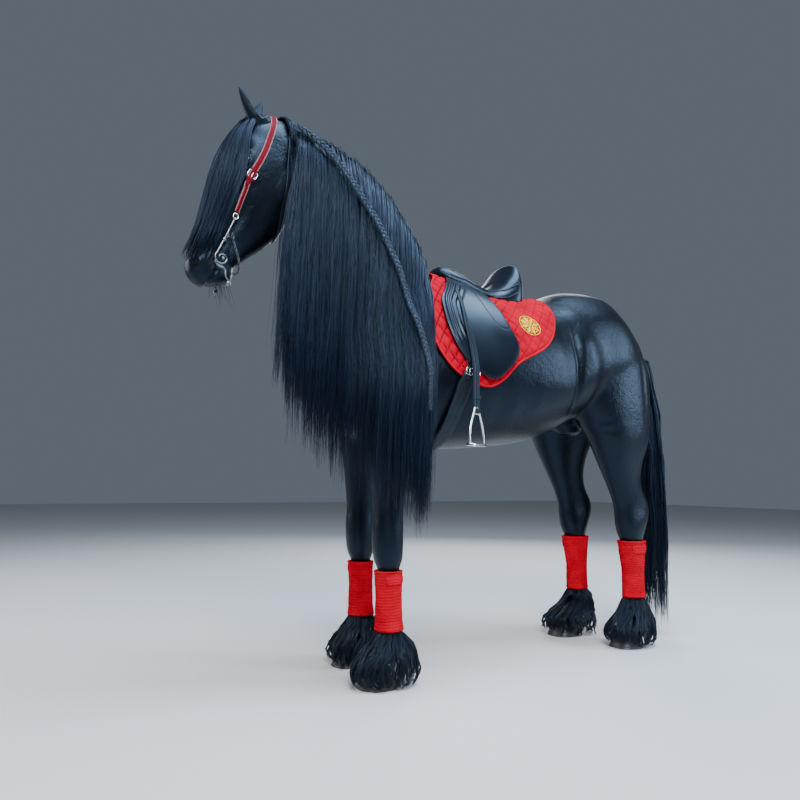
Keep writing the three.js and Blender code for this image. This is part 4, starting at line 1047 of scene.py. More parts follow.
def poll_hair():
    """Short hair combed back over the poll, between the headstall and the mane."""
    rng = np.random.default_rng(88)
    hairs, points = 620, 8
    x = rng.uniform(-1050, -984, hairs)
    start = np.stack([x, rng.uniform(-26, 34, hairs), np.full(hairs, 2090.0)], 1)
    end = np.stack([x + rng.uniform(34, 88, hairs), rng.uniform(-112, -84, hairs),
                    rng.uniform(1950, 2040, hairs)], 1)
    clear = rng.uniform(6, 25, hairs)
    sunk = 4
    paths = np.zeros((hairs, points, 3))
    for i in range(hairs):
        for k, t in enumerate(np.linspace(0, 1, points)):
            spot = lerp(start[i], end[i], t) + np.array([0, -10, 30]) * math.sin(math.pi * t)
            foot, out = SKIN_TREE.find_nearest(Vector(spot))[:2]
            lift = clear[i] * math.sin(math.pi * min(1, 0.08 + t * 0.8)) - (sunk if k == 0 else 0)
            paths[i, k] = np.array(foot) + np.array(out) * lift
    soften(paths.swapaxes(0, 1))
    roots = np.stack([0.02 + 0.03 * rng.uniform(0, 1, hairs), 0.3 + 0.3 * rng.uniform(0, 1, hairs)], 1)
    strands("poll_hair", "neck", MANE_BLACK, paths, rng.uniform(1.6, 2.8, hairs), rng.uniform(0.5, 0.9, hairs),
            np.broadcast_to([0.0, -0.6, 1.0], paths.shape), rng, roots)


BRAID_LINE = [[-990, 2050], [-878, 1967], [-801, 1875], [-723, 1758], [-658, 1638], [-602, 1498], [-566, 1380],
              [-543, 1235], [-538, 1097], [-538, 985]]
BRAID_SIZE = [[0, 5.5], [0.04, 8.4], [0.75, 7.8], [0.96, 6], [1, 4]]


def braid():
    """Three plaited strands of hair, hanging over the mane."""
    rng = np.random.default_rng(7)
    plaits, per_plait, fibres, over_mane = 34, 7, 14, 47
    s = np.linspace(0, 1, plaits * per_plait)
    line = through(BRAID_LINE, s)
    lie = np.max([body_reach(line[:, 0], line[:, 1] + up) for up in range(0, 450, 50)], axis=0)
    for _ in range(40):
        lie = np.maximum(lie, soften(lie.copy()))
    core = np.stack([line[:, 0], -(lie + over_mane + 9 * smooth(s * 2)), line[:, 1]], 1)
    _, out, across = frames(core, np.array([0.0, -1, 0]))
    size = along(BRAID_SIZE, s)[:, None]
    paths = []
    for strand in range(3):
        turn = (s * plaits * 2 * np.pi / 1.5 + strand * 2 * np.pi / 3)[:, None]
        middle = core + across * np.sin(turn) * size + out * np.sin(2 * turn) * size * 0.66
        _, n, b = frames(middle, out)
        for f in range(fibres):
            a = (2 * np.pi * f / fibres + 0.25 * np.sin(s * 40 + f))[:, None]
            r = size * (0.43 if f % 4 else 0.33)
            paths.append(middle + n * np.cos(a) * r + b * np.sin(a) * r * 1.12)
    paths, n = np.array(paths), len(paths)
    roots = np.stack([np.full(n, 0.04), 0.3 + 0.4 * np.arange(n) / n], 1)
    # each fibre's tint leans to the light end: painted highlight on the plait over a random tone
    strands("mane_braid", "neck", BRAID_BLACK, paths, np.full(n, 2.0), np.full(n, 1.0), paths - core, rng, roots,
            rng.uniform(0.3, 1.0, n))


# How the locks on the left of the forelock spread over the side of the nose, along their length
FORELOCK_SPREAD = [[0, 1], [0.35, 0.89], [0.6, 0.85], [0.8, 0.88], [1, 1.06]]


def face_paths(turn, clear, end, points):
    """Hairs from the poll down the face, each at its own turn from the middle."""
    t = np.broadcast_to(np.linspace(0, 1, points)[None], (len(turn), points))
    u, turn = lerp(4.0, end[:, None], t), turn[:, None]
    front, jaw, half, wide = (np.interp(u, HEAD_TABLE[:, 0], HEAD_TABLE[:, k]) for k in (1, 2, 3, 4))
    bow = np.sin(np.pi * np.minimum(1, t * 1.02)) * 14
    # on the right the locks draw in
    spread = np.where(turn < 0, along(FORELOCK_SPREAD, t), lerp(1.0, 0.8, t))
    sweep = np.maximum(turn * lerp(0.42, 1.0, np.minimum(1, t * 2.2)) * spread, -1.9)
    out = lerp(-10.0, clear[:, None] + bow, smooth(t / 0.06))
    middle = front - wide * (front - jaw)
    v = middle + (front - middle + out) * squared(np.cos(sweep), 0.75)
    x = POLL[0] + HEAD_LINE[0] * u + HEAD_OUT[0] * v
    z = POLL[1] + HEAD_LINE[1] * u + HEAD_OUT[1] * v
    return np.stack([x, (half + out * 0.7) * np.sin(sweep), z], 2)


def forelock():
    rng = np.random.default_rng(23)
    points, hairs, locks = 11, 2450, 58
    lock_turn = np.linspace(-1.5, 0.98, locks) + rng.normal(0, 0.03, locks)
    lock_clear = rng.uniform(3, 22, locks)
    short = np.where(lock_turn < 0, 0.5, 1.0)
    lock_end = 655 - rng.uniform(0, 90, locks) * short - 34 * np.abs(lock_turn) * short ** 3
    phase = rng.uniform(0, 6.3, locks)
    which, a, b = clumps(rng, hairs, locks)
    turn = lock_turn[which] + a * 0.075
    end = lock_end[which] * np.clip(1 - np.abs(rng.normal(0, 0.07, hairs)), 0.6, 1)
    clear = np.clip(lock_clear[which] + 4 * b, 2.5, 27)
    t = np.linspace(0, 1, points)[None]
    paths = drawn(face_paths(turn, clear, end, points),
                  face_paths(lock_turn[which], lock_clear[which], end, points), t, 0.6, 0.3, 0.6)
    stray = rng.normal(0, 1, hairs)[:, None] * 4 * t ** 2
    paths[..., 1] += np.sin(t * 9 + phase[which][:, None]) * 3.0 * t + stray
    outward = np.array([HEAD_OUT[0], 0, HEAD_OUT[1]]) + paths * [0, 1 / 70, 0]
    roots = np.stack([0.5 + 0.4 * turn, 0.4 + 0.2 * rng.uniform(0, 1, hairs)], 1)
    strands("forelock", "head", MANE_BLACK, paths, rng.uniform(1.4, 2.5, hairs), rng.uniform(0.5, 0.9, hairs),
            outward, rng, roots)


def whiskers():
    """A few long hairs under the chin and lips."""
    rng = np.random.default_rng(5)
    hairs, points = 46, 7
    u, v = rng.uniform(600, 672, hairs), rng.uniform(-66, -10, hairs)
    root = POLL + HEAD_LINE * u[:, None] + HEAD_OUT * v[:, None]
    t = np.linspace(0, 1, points)[None, :, None]
    way = np.stack([rng.normal(0.05, 0.2, hairs), rng.normal(0, 0.25, hairs), -np.ones(hairs)], 1)
    start = np.stack([root[:, 0], rng.uniform(-26, 26, hairs), root[:, 1]], 1)
    paths = start[:, None] + way[:, None] * t * rng.uniform(50, 120, hairs)[:, None, None]
    paths = paths + np.array([1.0, 0, 0]) * t ** 2 * rng.normal(6, 12, hairs)[:, None, None]
    roots = np.stack([0.9 + 0.05 * rng.uniform(0, 1, hairs), 0.2 * rng.uniform(0, 1, hairs)], 1)
    strands("whiskers", "head", MANE_BLACK, paths, np.full(hairs, 1.1), np.full(hairs, 0.5),
            np.broadcast_to([0, 1.0, 0.1], paths.shape), rng, roots)


def round_roots(turn, up):
    """Where hairs that grow round a limb start in the map."""
    return np.stack([0.05 + 0.9 * (turn % (2 * np.pi)) / (2 * np.pi), up], 1)


FEATHER_FRONT = {"fore": 4, "hind": 26}


def feather(name, seed):
    """The long hair from below the wrap down over the hoof."""
    rng = np.random.default_rng(seed)
    side, cannon, hoof_x = (LEGS[name][key] for key in ("side", "cannon", "hoof"))
    hairs, locks, points = 1720, 46, 9
    lock_turn = 2 * np.pi * (np.arange(locks) + rng.uniform(0, 1, locks)) / locks
    lock_out = rng.uniform(0, 13, locks)
    lock_lift = rng.uniform(0, 16, locks)
    edge = WRAP_HEIGHTS[name[:4]][0]
    flick, phase = rng.normal(0, 1, locks), rng.uniform(0, 6.3, locks)
    which, a, b = clumps(rng, hairs, locks)
    t = np.linspace(0, 1, points)

    def paths_at(turn, out, lift, start):
        back, front, same = np.maximum(0, -np.cos(turn)), np.maximum(0, np.cos(turn)), np.ones(len(turn))
        reach = 90 + 62 * back ** 1.5 - (16 * front if name == "fore_right" else 0)
        low = 4 + lift + front * FEATHER_FRONT[name[:4]]
        z = [edge + 14 + 0.9 * start, edge - 10 + 0.5 * start, 138 * same, 92 * same, low * 0.6 + 34, low]
        r = [26 * same, 48 + 0.5 * out, reach * 0.68 + out, reach * 0.92 + out, reach + out, reach * 0.88 + out]
        z, r = through(np.stack([z, r], 2), t).transpose(2, 1, 0)
        centre = lerp(hoof_x - 4, cannon, np.clip((z - 80) / 90, 0, 1))
        return np.stack([centre - np.cos(turn)[:, None] * r,
                         side * HALF_TRACK + np.sin(turn)[:, None] * r * 0.94, z], 2)

    turn = lock_turn[which] + a * 0.13
    start = rng.uniform(-44, 6, hairs)
    lift = lock_lift[which] + rng.uniform(0, 10, hairs)
    paths = drawn(paths_at(turn, lock_out[which] + 4 * b, lift, start),
                  paths_at(lock_turn[which], lock_out[which], lock_lift[which], start), t, 0.34, 0.45, 0.5)
    wave, t = phase[which][:, None], t[None]
    curl = np.sin(t * 14 + 2 * wave + 0.8 * a[:, None]) * 9.5 * smooth(t * 2)
    sway = np.sin(t * 7 + wave) * 9 * t + curl + flick[which][:, None] * 10 * t ** 2
    paths[..., 0] += np.sin(turn)[:, None] * sway
    paths[..., 1] -= np.cos(turn)[:, None] * sway * side
    paths[..., 2] = np.maximum(paths[..., 2], 3.0 + 3 * (1 - t))
    outward = paths - np.array([hoof_x, side * HALF_TRACK, 0])
    outward[..., 2] = 20
    roots = round_roots(turn, 0.4 + 0.2 * rng.uniform(0, 1, hairs))
    strands("feather_" + name, "leg_" + name, FEATHER_BLACK, paths, rng.uniform(1.4, 2.6, hairs),
            rng.uniform(0.5, 1.0, hairs), outward, rng, roots)


DOCK = [[862, 1416], [902, 1416], [928, 1388], [941, 1300], [944, 1180], [944, 1000], [944, 840]]
DOCK_RADII = [28, 33, 34, 31, 28, 22, 6]
TAIL_X = 940


def dock():
    """The root of the tail, under its hair."""
    rings = []
    for s in np.linspace(0, 1, 26):
        x, z = through(DOCK, s)
        dx, dz = unit(through(DOCK, min(1, s + 0.02)) - through(DOCK, max(0, s - 0.02)))
        turn = angles(20)[:, None]
        r = float(np.interp(s * 6, range(7), DOCK_RADII)) * 0.9
        rings.append([x, 0, z] + (np.cos(turn) * [dz, 0, -dx] + np.sin(turn) * [0, 1, 0]) * r)
    finish(mesh_object("dock", *closed(rings)), COAT_BLACK, "coat", "tail")


def tail_paths(turn, root, out, low, points):
    """Hairs from the dock, swelling out round it and falling straight."""
    d = through(DOCK, root)
    t = np.broadcast_to(np.linspace(0, 1, points)[None], (len(turn), points))
    z = lerp(d[:, 1:] - 6, low[:, None], t ** 1.15)
    belly = np.sin(np.pi * np.minimum(1, 0.12 + t * 0.62))
    turn, out, grow = turn[:, None], out[:, None], smooth(t / 0.06)
    wave = 8 * np.sin(turn * 2 + t * 9) * t
    x = lerp(d[:, :1], TAIL_X, np.minimum(1, t * 3)) + np.cos(turn) * (26 + 38 * belly + out) * grow
    y = np.sin(turn) * (32 + 70 * belly + out) * grow + wave - 26 * t
    return np.stack([x + wave + 10 * t, y, z], 2)


def tail():
    dock()
    hairs, locks, points = 1500, 90, 13
    t = np.linspace(0, 1, points)[None]
    for layer in range(2):
        rng = np.random.default_rng(60 + layer)
        lock_turn = 2 * np.pi * (np.arange(locks) + rng.uniform(0, 1, locks)) / locks
        lock_root = rng.uniform(0.12, 0.62, locks)
        lock_out = rng.uniform(-26, 4, locks) + 20 * layer
        lock_low = 34 + rng.uniform(0, 1, locks) ** 1.6 * 420
        phase = rng.uniform(0, 6.3, locks)
        which, a, b = clumps(rng, hairs, locks)
        turn, root, out = lock_turn[which] + a * 0.12, lock_root[which], lock_out[which]
        low = lock_low[which] + rng.uniform(0, 90, hairs)
        paths = drawn(tail_paths(turn, root, out + 5 * b, low, points),
                      tail_paths(lock_turn[which], root, out, low, points), t, 0.6, 0.3, 0.6)
        wave = phase[which][:, None]
        ripple = np.sin(t * 22 + wave) * 6.0 * smooth(t * 3)
        paths[..., 0] += ripple * np.cos(wave)
        paths[..., 1] += ripple * np.sin(wave) + rng.normal(0, 1, hairs)[:, None] * 5 * t
        outward = (paths - [TAIL_X, 0, 0]) * [1, 1, 0] + 1e-3
        roots = round_roots(turn, 0.1 + 0.8 * root)
        strands(f"tail_hair_{layer + 1}", "tail", MANE_BLACK, paths, rng.uniform(1.8, 3.2, hairs),
                rng.uniform(0.7, 1.2, hairs), outward, rng, roots)


mane()
poll_hair()
braid()
forelock()
whiskers()
for order, name in enumerate(LEGS):
    feather(name, 31 + order)
tail()


def tube(points, radius, sides=12, hint=(0.0, 1, 0), loop=False):
    """A round bar along a line; its radius may change along it."""
    points = np.asarray(points, float)
    t = np.roll(points, -1, 0) - np.roll(points, 1, 0) if loop else np.gradient(points, axis=0)
    t = unit(t)
    start = np.asarray(hint, float)
    if abs(start @ t[0]) > 0.9:
        start = np.array([1.0, 0, 0])
    n = np.zeros_like(points)
    for i in range(len(points)):
        start = unit(start - (start @ t[i]) * t[i])
        n[i] = start
    b = np.cross(t, n)
    turn = angles(sides)[None, :, None]
    radius = np.broadcast_to(radius, (len(points),))[:, None, None]
    rings = points[:, None] + (np.cos(turn) * n[:, None] + np.sin(turn) * b[:, None]) * radius
    return (rings.reshape(-1, 3), band(len(points), sides, True)) if loop else closed(rings)


def strap(points, outward, width, thick, edge=1.2, crown=0.0):
    """A flat band along a line, its edges rounded; its width may change along it."""
    points = np.asarray(points, float)
    _, n, b = frames(points, outward)
    w, h, e = np.broadcast_to(width, (len(points),)) / 2, thick / 2, edge
    spots = [(-w, -h + e), (-w, h - e), (-w + e, h), (-w * 0.5, h + crown * 0.8), (0, h + crown),
             (w * 0.5, h + crown * 0.8), (w - e, h), (w, h - e), (w, -h + e), (w - e, -h), (0, -h), (-w + e, -h)]
    return closed(np.stack([points + b * np.reshape(x, (-1, 1)) + n * y for x, y in spots], 1))


def stitches(points, outward, pitch=5.0, length=3.2, radius=0.55):
    """A row of small thread stitches lying on a line, along one outward direction or many."""
    points = resample(points, pitch)
    if np.ndim(outward) == 2:
        share, given = np.linspace(0, 1, len(points)), np.linspace(0, 1, len(outward))
        outward = np.stack([np.interp(share, given, column) for column in outward.T], 1)
    t, n, _ = frames(points, outward)
    return many([
        tube([p - way * length / 2 - out * 0.3, p + out * 0.35, p + way * length / 2 - out * 0.3], radius, 5, out)
        for p, way, out in zip(points[1:-1], t[1:-1], n[1:-1])])


ROUND_SHARES = np.linspace(0, 1, 4001)
ROUND = through(TRUNK, ROUND_SHARES)


# Saddlery on the barrel
def trunk(x, a, grow):
    """A point round the barrel at length x, turned by a from the spine, right side positive."""
    top, bottom, half, wide, na, nb = (np.interp(x, ROUND[:, 0], ROUND[:, k]) for k in (1, 3, 4, 6, 7, 8))
    side, up = oval(a, top - bottom, half, wide, na, nb, grow)
    return np.stack(np.broadcast_arrays(x, side, top - (top - bottom) * wide + up), -1)


def turn_at(x, z, grow):
    """How far round from the spine the barrel has come down to z."""
    x, z = np.broadcast_arrays(np.asarray(x, float), np.asarray(z, float))
    low, high = np.zeros(x.shape), np.full(x.shape, np.pi)
    for _ in range(36):
        mid = (low + high) / 2
        above = trunk(x, mid, grow)[..., 2] > z
        low, high = np.where(above, mid, low), np.where(above, high, mid)
    return (low + high) / 2


def net(index):
    """The triangles of a grid of numbered points."""
    a, b, c, d = index[:-1, :-1], index[:-1, 1:], index[1:, :-1], index[1:, 1:]
    return np.concatenate([np.stack([a, b, c], -1).reshape(-1, 3), np.stack([b, d, c], -1).reshape(-1, 3)])


def plate(outer, inner, step=1, walls="trbl"):
    """A closed plate between two grids: the hidden inner one keeps every step-th row and column."""
    rows, cols = outer.shape[:2]
    down = np.unique(np.append(np.arange(0, rows, step), rows - 1))
    across = np.unique(np.append(np.arange(0, cols, step), cols - 1))
    index = np.arange(rows * cols).reshape(rows, cols)
    under = np.arange(len(down) * len(across)).reshape(len(down), len(across)) + rows * cols
    edges = {
        "t": (index[0], under[0], across),
        "r": (index[:, -1], under[:, -1], down),
        "b": (index[-1, ::-1], under[-1, ::-1], cols - 1 - across[::-1]),
        "l": (index[::-1, 0], under[::-1, 0], rows - 1 - down[::-1]),
    }
    faces = [net(index), net(under)[:, ::-1]]
    for side in walls:
        fine, coarse, stops = edges[side]
        foot = np.searchsorted(stops, np.arange(len(fine) - 1), side="right") - 1
        faces.append(np.stack([fine[:-1], fine[1:], coarse[foot]], 1))
        faces.append(np.stack([fine[stops[1:]], coarse[1:], coarse[:-1]], 1))
    verts = [outer.reshape(-1, 3), inner[np.ix_(down, across)].reshape(-1, 3)]
    return np.concatenate(verts), np.concatenate(faces)


LAYER = dict(pad=13, girth=20, flap=28, leather=34)
PAD = [[-334, 1640], [-352, 1590], [-418, 1510], [-471, 1392], [-468, 1266], [-413, 1168], [-339, 1118],
       [-255, 1096], [-190, 1130], [-121, 1200], [29, 1286], [113, 1400], [146, 1490], [150, 1580]]
FLAP = [[-300, 1590], [-370, 1500], [-408, 1440], [-412, 1330], [-386, 1240], [-338, 1172], [-250, 1122],
        [-188, 1160], [-128, 1246], [-150, 1360], [-168, 1480], [-176, 1560]]


def saddle_pad():
    """The quilted cloth, in two sets of slanting channels, with a bound edge."""
    edge = curve(PAD, 4.6)
    turn = turn_at(edge[:, 0], edge[:, 1], LAYER["pad"])
    off_spine = turn > 0.012
    edge, turn = edge[off_spine], turn[off_spine]
    t = np.linspace(-1, 1, 221)[None]
    spine_x = np.linspace(edge[0, 0], edge[-1, 0], len(edge))[:, None]
    x = lerp(spine_x, edge[:, :1], np.abs(t) ** 1.05)
    a = turn[:, None] * t
    around, channel, slant = a * 310, 50, 0.92
    off = [(x + sign * np.abs(around) * slant) / channel for sign in (1, -1)]
    near = np.minimum(*(np.abs(p - np.round(p)) for p in off)) * 36
    plain = smooth((x + 130) / 40)
    rim = smooth((1 - np.abs(t)) / 0.035)
    puff = (1 - np.exp(-(near / 5.5) ** 1.2)) * lerp(1.0, 0.45, plain)
    wander = 0.9 * np.sin(x / 31 + around / 47) + 0.7 * np.sin(around / 23 - x / 60)
    outer = trunk(x, a, LAYER["pad"] - 4.6 + (7.4 * puff + 3.0 * plain) * rim + wander * rim)
    pad = mesh_object("saddle_cloth", *plate(outer, trunk(x, a, 2.0), 6))
    # painted shade down the middle of each quilted groove, half as strong on the plain rear, kept in the seam
    # attribute
    painted_groove_shade = np.exp(-(near / 1.7) ** 2) * lerp(1.0, 0.5, plain)
    per_point(pad, "seam", np.pad(painted_groove_shade.ravel(), (0, len(pad.data.vertices) - painted_groove_shade.size)))
    finish(turned(pad), RED_COTTON, "red_quilt", "saddle_pad")
    right, left = (trunk(edge[:, 0], turn * side, LAYER["pad"] - 3.5) for side in (RIGHT, LEFT))
    piece("cloth_binding", [tube(np.concatenate([right, left[::-1]]), 5.0, 10, loop=True)], RED_BINDING,
          "red_quilt", "saddle_pad")


ROSETTE = (-34.0, 1366.0)


def rosette(name, side):
    """Raised yellow needlework on the rear of the cloth: eight leaves, a ring and a dotted round."""
    base = LAYER["pad"] + 0.6

    def lay(radius, way, high, spread=0.0):
        """Points at a radius in one direction from the middle, or spread to its side."""
        x = ROSETTE[0] + np.cos(way) * radius - np.sin(way) * spread
        z = ROSETTE[1] + (np.sin(way) * radius + np.cos(way) * spread) * 0.95
        return trunk(x, turn_at(x, z, base), base + high) * [1, side, 1]

    def cord(points, radius, loop=False):
        return tube(points, radius, 6, (0, side, 0), loop)

    parts = [ball(lay(0.0, 0.0, 0.8), (6.0, 2.4, 6.0), 16, 10)]
    s = np.linspace(0, 1, 14)
    r, swell = 15 + 25 * s, np.sin(np.pi * s)
    for leaf in range(8):
        way = 2 * np.pi * leaf / 8 + 0.2
        parts += [cord(lay(r, way, 0.6, swell ** 0.8 * 6.0 * sign), 1.7) for sign in (-1, 1)]
        parts.append(cord(lay(r[1:-1], way, 0.8), 2.9 * swell[1:-1] ** 0.6 + 0.4))
        parts.append(ball(lay(35.0, way + np.pi / 8, 0.8), (3.4, 2.0, 3.4), 10, 8))
    parts += [cord(lay(radius, angles(48), 0.7), w, True) for radius, w in ((11.5, 2.0), (46.0, 1.8))]
    piece("rosette_" + name, parts, YELLOW_THREAD, "red_quilt", "saddle_pad")


FLAP_FRONT = curve([[-306, 1575], [-366, 1500], [-403, 1438], [-408, 1330], [-384, 1242]], 6)
FLAP_POCKET = curve([[-226, 1520], [-222, 1420], [-196, 1345], [-160, 1335], [-136, 1370], [-134, 1450]], 6)
FLAP_MIDDLE = np.array([-255.0, 1360.0])
# Ridges of the knee roll: millimetres behind the flap's front edge, width and height
KNEE_ROLL = [(11, 6, 7.5), (28, 6.5, 8.5), (46, 7, 6.5), (64, 8, 3.4)]


def flap(name, side):
    """A padded flap with knee roll, pocket and seams."""
    edge = curve(FLAP + FLAP[:1], 5.4)[:-1]
    t = np.linspace(0, 1, 66)[None, :, None] ** 0.85
    spots = lerp(FLAP_MIDDLE, edge[:, None], t)
    spots = np.concatenate([spots, spots[:1]])
    inward = 1 - t[..., 0]
    off, share = near_line(spots, FLAP_FRONT)
    ridges = sum(high * np.exp(-((off - at) / wide) ** 2) for at, wide, high in KNEE_ROLL)
    ridges = ridges * smooth(share / 0.12) * smooth((1.0 - share) / 0.2)
    rim = smooth(inward / 0.03)
    pocket, _ = near_line(spots, FLAP_POCKET)
    lift = ridges * rim - 1.1 * np.exp(-(pocket / 1.8) ** 2) - 0.8 * np.exp(-(inward * 190 - 9) ** 2 / 4)
    turn = turn_at(spots[..., 0], spots[..., 1], LAYER["flap"]) * side
    outer = trunk(spots[..., 0], turn, LAYER["flap"] - 1.6 + 1.4 * rim + lift)
    inner = trunk(spots[..., 0], turn, LAYER["girth"] + 2.4)
    node = "saddle_flap_" + name
    made = piece("saddle_flap_piece_" + name, [plate(outer, inner, 4, "r")], SADDLE_LEATHER, "black_leather", node)
    rim_line = lerp(FLAP_MIDDLE, edge, 0.955)
    shown = (rim_line[:, 1] < 1500) & ((rim_line[:, 0] > -330) | (rim_line[:, 1] < 1240))
    for part, (x, z) in (("rim", rim_line[shown].T), ("pocket", FLAP_POCKET.T)):
        seam = trunk(x, turn_at(x, z, LAYER["flap"]) * side, LAYER["flap"] + 0.1)
        piece(f"flap_seam_{name}_{part}", [stitches(seam, np.array([0, side, 0.1]), 6.5, 4.0, 0.6)], THREAD,
              "black_leather", node)


SADDLE = np.array([
    [x, top, x, bottom, half, 0, (top - widest) / (top - bottom), *((2.2, 2.0) if x < 0 else (2.5, 2.8))]
    for x, top, bottom, half, widest in [
        (-330, 1604, 1560, 30, 1582), (-314, 1636, 1540, 54, 1580), (-284, 1645, 1500, 84, 1555),
        (-230, 1628, 1470, 112, 1530), (-165, 1592, 1440, 130, 1505), (-100, 1570, 1430, 138, 1495),
        (-40, 1588, 1436, 142, 1496), (10, 1636, 1440, 146, 1508), (44, 1680, 1448, 145, 1528),
        (64, 1706, 1462, 136, 1548), (82, 1704, 1490, 116, 1572), (94, 1662, 1530, 74, 1590),
    ]])
# Height of the seam that parts the seat from the skirt, along the saddle
SEAT_SEAM = [[-330, 1596], [-284, 1590], [-200, 1560], [-112, 1536], [-20, 1548], [40, 1582], [94, 1600]]
BARREL_Z = 1180


def saddle_seat():
    verts, faces = loft(SADDLE, 110, 90, -0.5)
    # sat-in hollow, with the rolled seat edge left standing round it
    x, y, z = verts.T
    inside = np.clip(1 - ((x + 122) / 122) ** 2 - (y / 104) ** 2, 0, None)
    hollow = 1644 - 74 * np.sqrt(inside)
    sunk = 8 * np.log1p(np.exp((z - hollow) / 8))
    verts[:, 2] -= np.where((inside > 0) & (z > 1540), sunk, 0)
    # one groove along the seam and a second below it
    below = verts[:, 2] - along(SEAT_SEAM, verts[:, 0])
    groove = np.exp(-(below / 5.0) ** 2) * 4.5 + np.exp(-((below + 24) / 5.0) ** 2) * 2.6
    verts[:, 1] -= np.sign(verts[:, 1]) * np.where(np.abs(verts[:, 1]) > 18, groove, 0)
    seat = mesh_object("seat", verts, faces)
    remeshed(seat, 0.0054, 9)
    # nothing reaches below the cloth that it sits on
    co, middle = coords(seat), [0, BARREL_Z]
    roof = trunk(co[:, 0], np.arctan2(co[:, 1], co[:, 2] - BARREL_Z), LAYER["pad"] + 1.2)
    low = np.linalg.norm(co[:, 1:] - middle, axis=1) < np.linalg.norm(roof[:, 1:] - middle, axis=1)
    co[low] = roof[low]
    set_coords(seat, co)
    seat.data.shade_smooth()
    finish(seat, SADDLE_LEATHER, "black_leather", "saddle_seat")
    # welts along the seam and under it, each with its stitches
    tree, welts, thread = mesh_tree(seat), [], []
    for side in SIDES.values():
        for drop, r in ((7, 2.6), (-30, 2.0)):
            points = []
            for x in np.linspace(-296, 74, 70):
                foot, _ = from_side(tree, x, along(SEAT_SEAM, x) + drop, side, 260)
                if foot is not None:
                    points.append(np.array(foot) + [0, side * 0.6, 0])
            points = soften(np.array(points), 6)
            welts.append(tube(resample(points, 6), r, 8))
            thread.append(stitches(points + [0, side * 0.4, 5.0], np.array([0, side, 0.3]), 6, 3.6, 0.5))
    piece("seat_welts", welts, SADDLE_LEATHER, "black_leather", "saddle_seat")
    piece("seat_seams", thread, THREAD, "black_leather", "saddle_seat")


GIRTH_LINE = np.array([[-330, 1160], [-352, 1110], [-376, 1010], [-386, 900], [-388, 800]])
GIRTH_HALF = 31


def girth_x(z):
    """How far back the girth lies at a height."""
    return np.interp(-z, -GIRTH_LINE[:, 1], GIRTH_LINE[:, 0])


def girth():
    """The band under the belly, its rows of stitches, and two billets with buckles on each side."""
    start = float(turn_at(-334.0, 1150.0, 16.0))
    a = np.linspace(start, 2 * np.pi - start, 130)
    z = trunk(np.full_like(a, -370.0), np.minimum(a, 2 * np.pi - a), 16.0)[:, 2]
    x = girth_x(z)
    a = np.where(a > np.pi, a - 2 * np.pi, a)
    w = np.linspace(-1, 1, 15)[None]
    across, turn = x[:, None] + w * GIRTH_HALF, np.repeat(a[:, None], 15, 1)
    bulge = 2.6 * (1 - w ** 4) - 1.7 * np.exp(-(w / 0.07) ** 2)
    on_pad = smooth((z - 1100) / 30) * 8.5
    outer = trunk(across, turn, 11.5 + bulge + on_pad[:, None])
    inner = trunk(across, turn, 2.5 + on_pad[:, None] * 1.1)
    made = piece("girth_band", [plate(outer, inner)], STRAP_LEATHER, "black_leather", "girth")
    thread, steel, billets = [], [], []
    for shift in (-0.86, 0.0, 0.86):
        in_groove = 1.2 if shift == 0 else 0
        points = trunk(x + shift * GIRTH_HALF, a, 14.0 - in_groove + on_pad)
        thread.append(stitches(points, points - [-370, 0, BARREL_Z], 6.5, 4, 0.55))
    for side in SIDES.values():
        for shift in (-15.5, 15.5):
            z = np.linspace(1206, 1118, 18)
            x = girth_x(z) + shift
            points = trunk(x, turn_at(x, z, 20.0) * side, 19.4 + 5.0 * smooth((1170 - z) / 16))
            billets.append(strap(points, np.array([0, side, 0]), 24, 3.4, 0.9))
            place = trunk(girth_x(1146) + shift, turn_at(-338.0 + shift, 1146.0, 24.0) * side, 27.0)
            steel.append(buckle(place, np.array([-0.17, 0, -0.985]), np.array([0, side, -0.12]), 31, 25, 2.3))
    piece("girth_seams", thread, THREAD, "black_leather", "girth")
    piece("girth_billets", billets, STRAP_LEATHER, "black_leather", "girth")
    piece("girth_buckles", steel, STEEL, "silver_steel", "girth")


def buckle(place, down, out, width, height, r):
    """A rounded four-sided bar with a tongue, lying square to a strap that runs down."""
    down = unit(down)
    out = unit(out - down * (out @ down))
    turn = angles(40)[:, None]
    bar = place + squared(np.cos(turn), 0.35) * width / 2 * np.cross(down, out) \
        + squared(np.sin(turn), 0.35) * height / 2 * down
    reach = height * 0.5
    tongue = through([place - down * reach, place + out * 1.8, place + down * (reach + 1.5) + out * 1.2],
                     np.linspace(0, 1, 8))
    return many([tube(bar, r, 8, out, loop=True), tube(tongue, r * 0.62, 7, out)])


# The stirrup leather's line down the flap, and the iron hanging from it
STIRRUP = [[-318, 1500], [-330, 1400], [-332, 1290], [-330, 1178]]
IRON = dict(top=1011, height=146, width=112, turn=0.40)
HANG_X = -330.0
HANG_Y = float(max(trunk(x, turn_at(x, 1165.0, 34.0), 34.0)[1] for x in (HANG_X - 20, HANG_X, HANG_X + 20)))
# One side of the iron's arch up from the tread: share of its half width, millimetres more, height
IRON_ARCH = [(1, 0, 2), (1, 1, 34), (0.86, 0, 74), (0.52, 0, 112), (0.34, 0, 130), (0.30, 0, 139)]
ARCH_RADII = [[0, 6.2], [0.15, 5.4], [0.42, 4.4], [0.5, 4.2], [0.58, 4.4], [0.85, 5.4], [1, 6.2]]


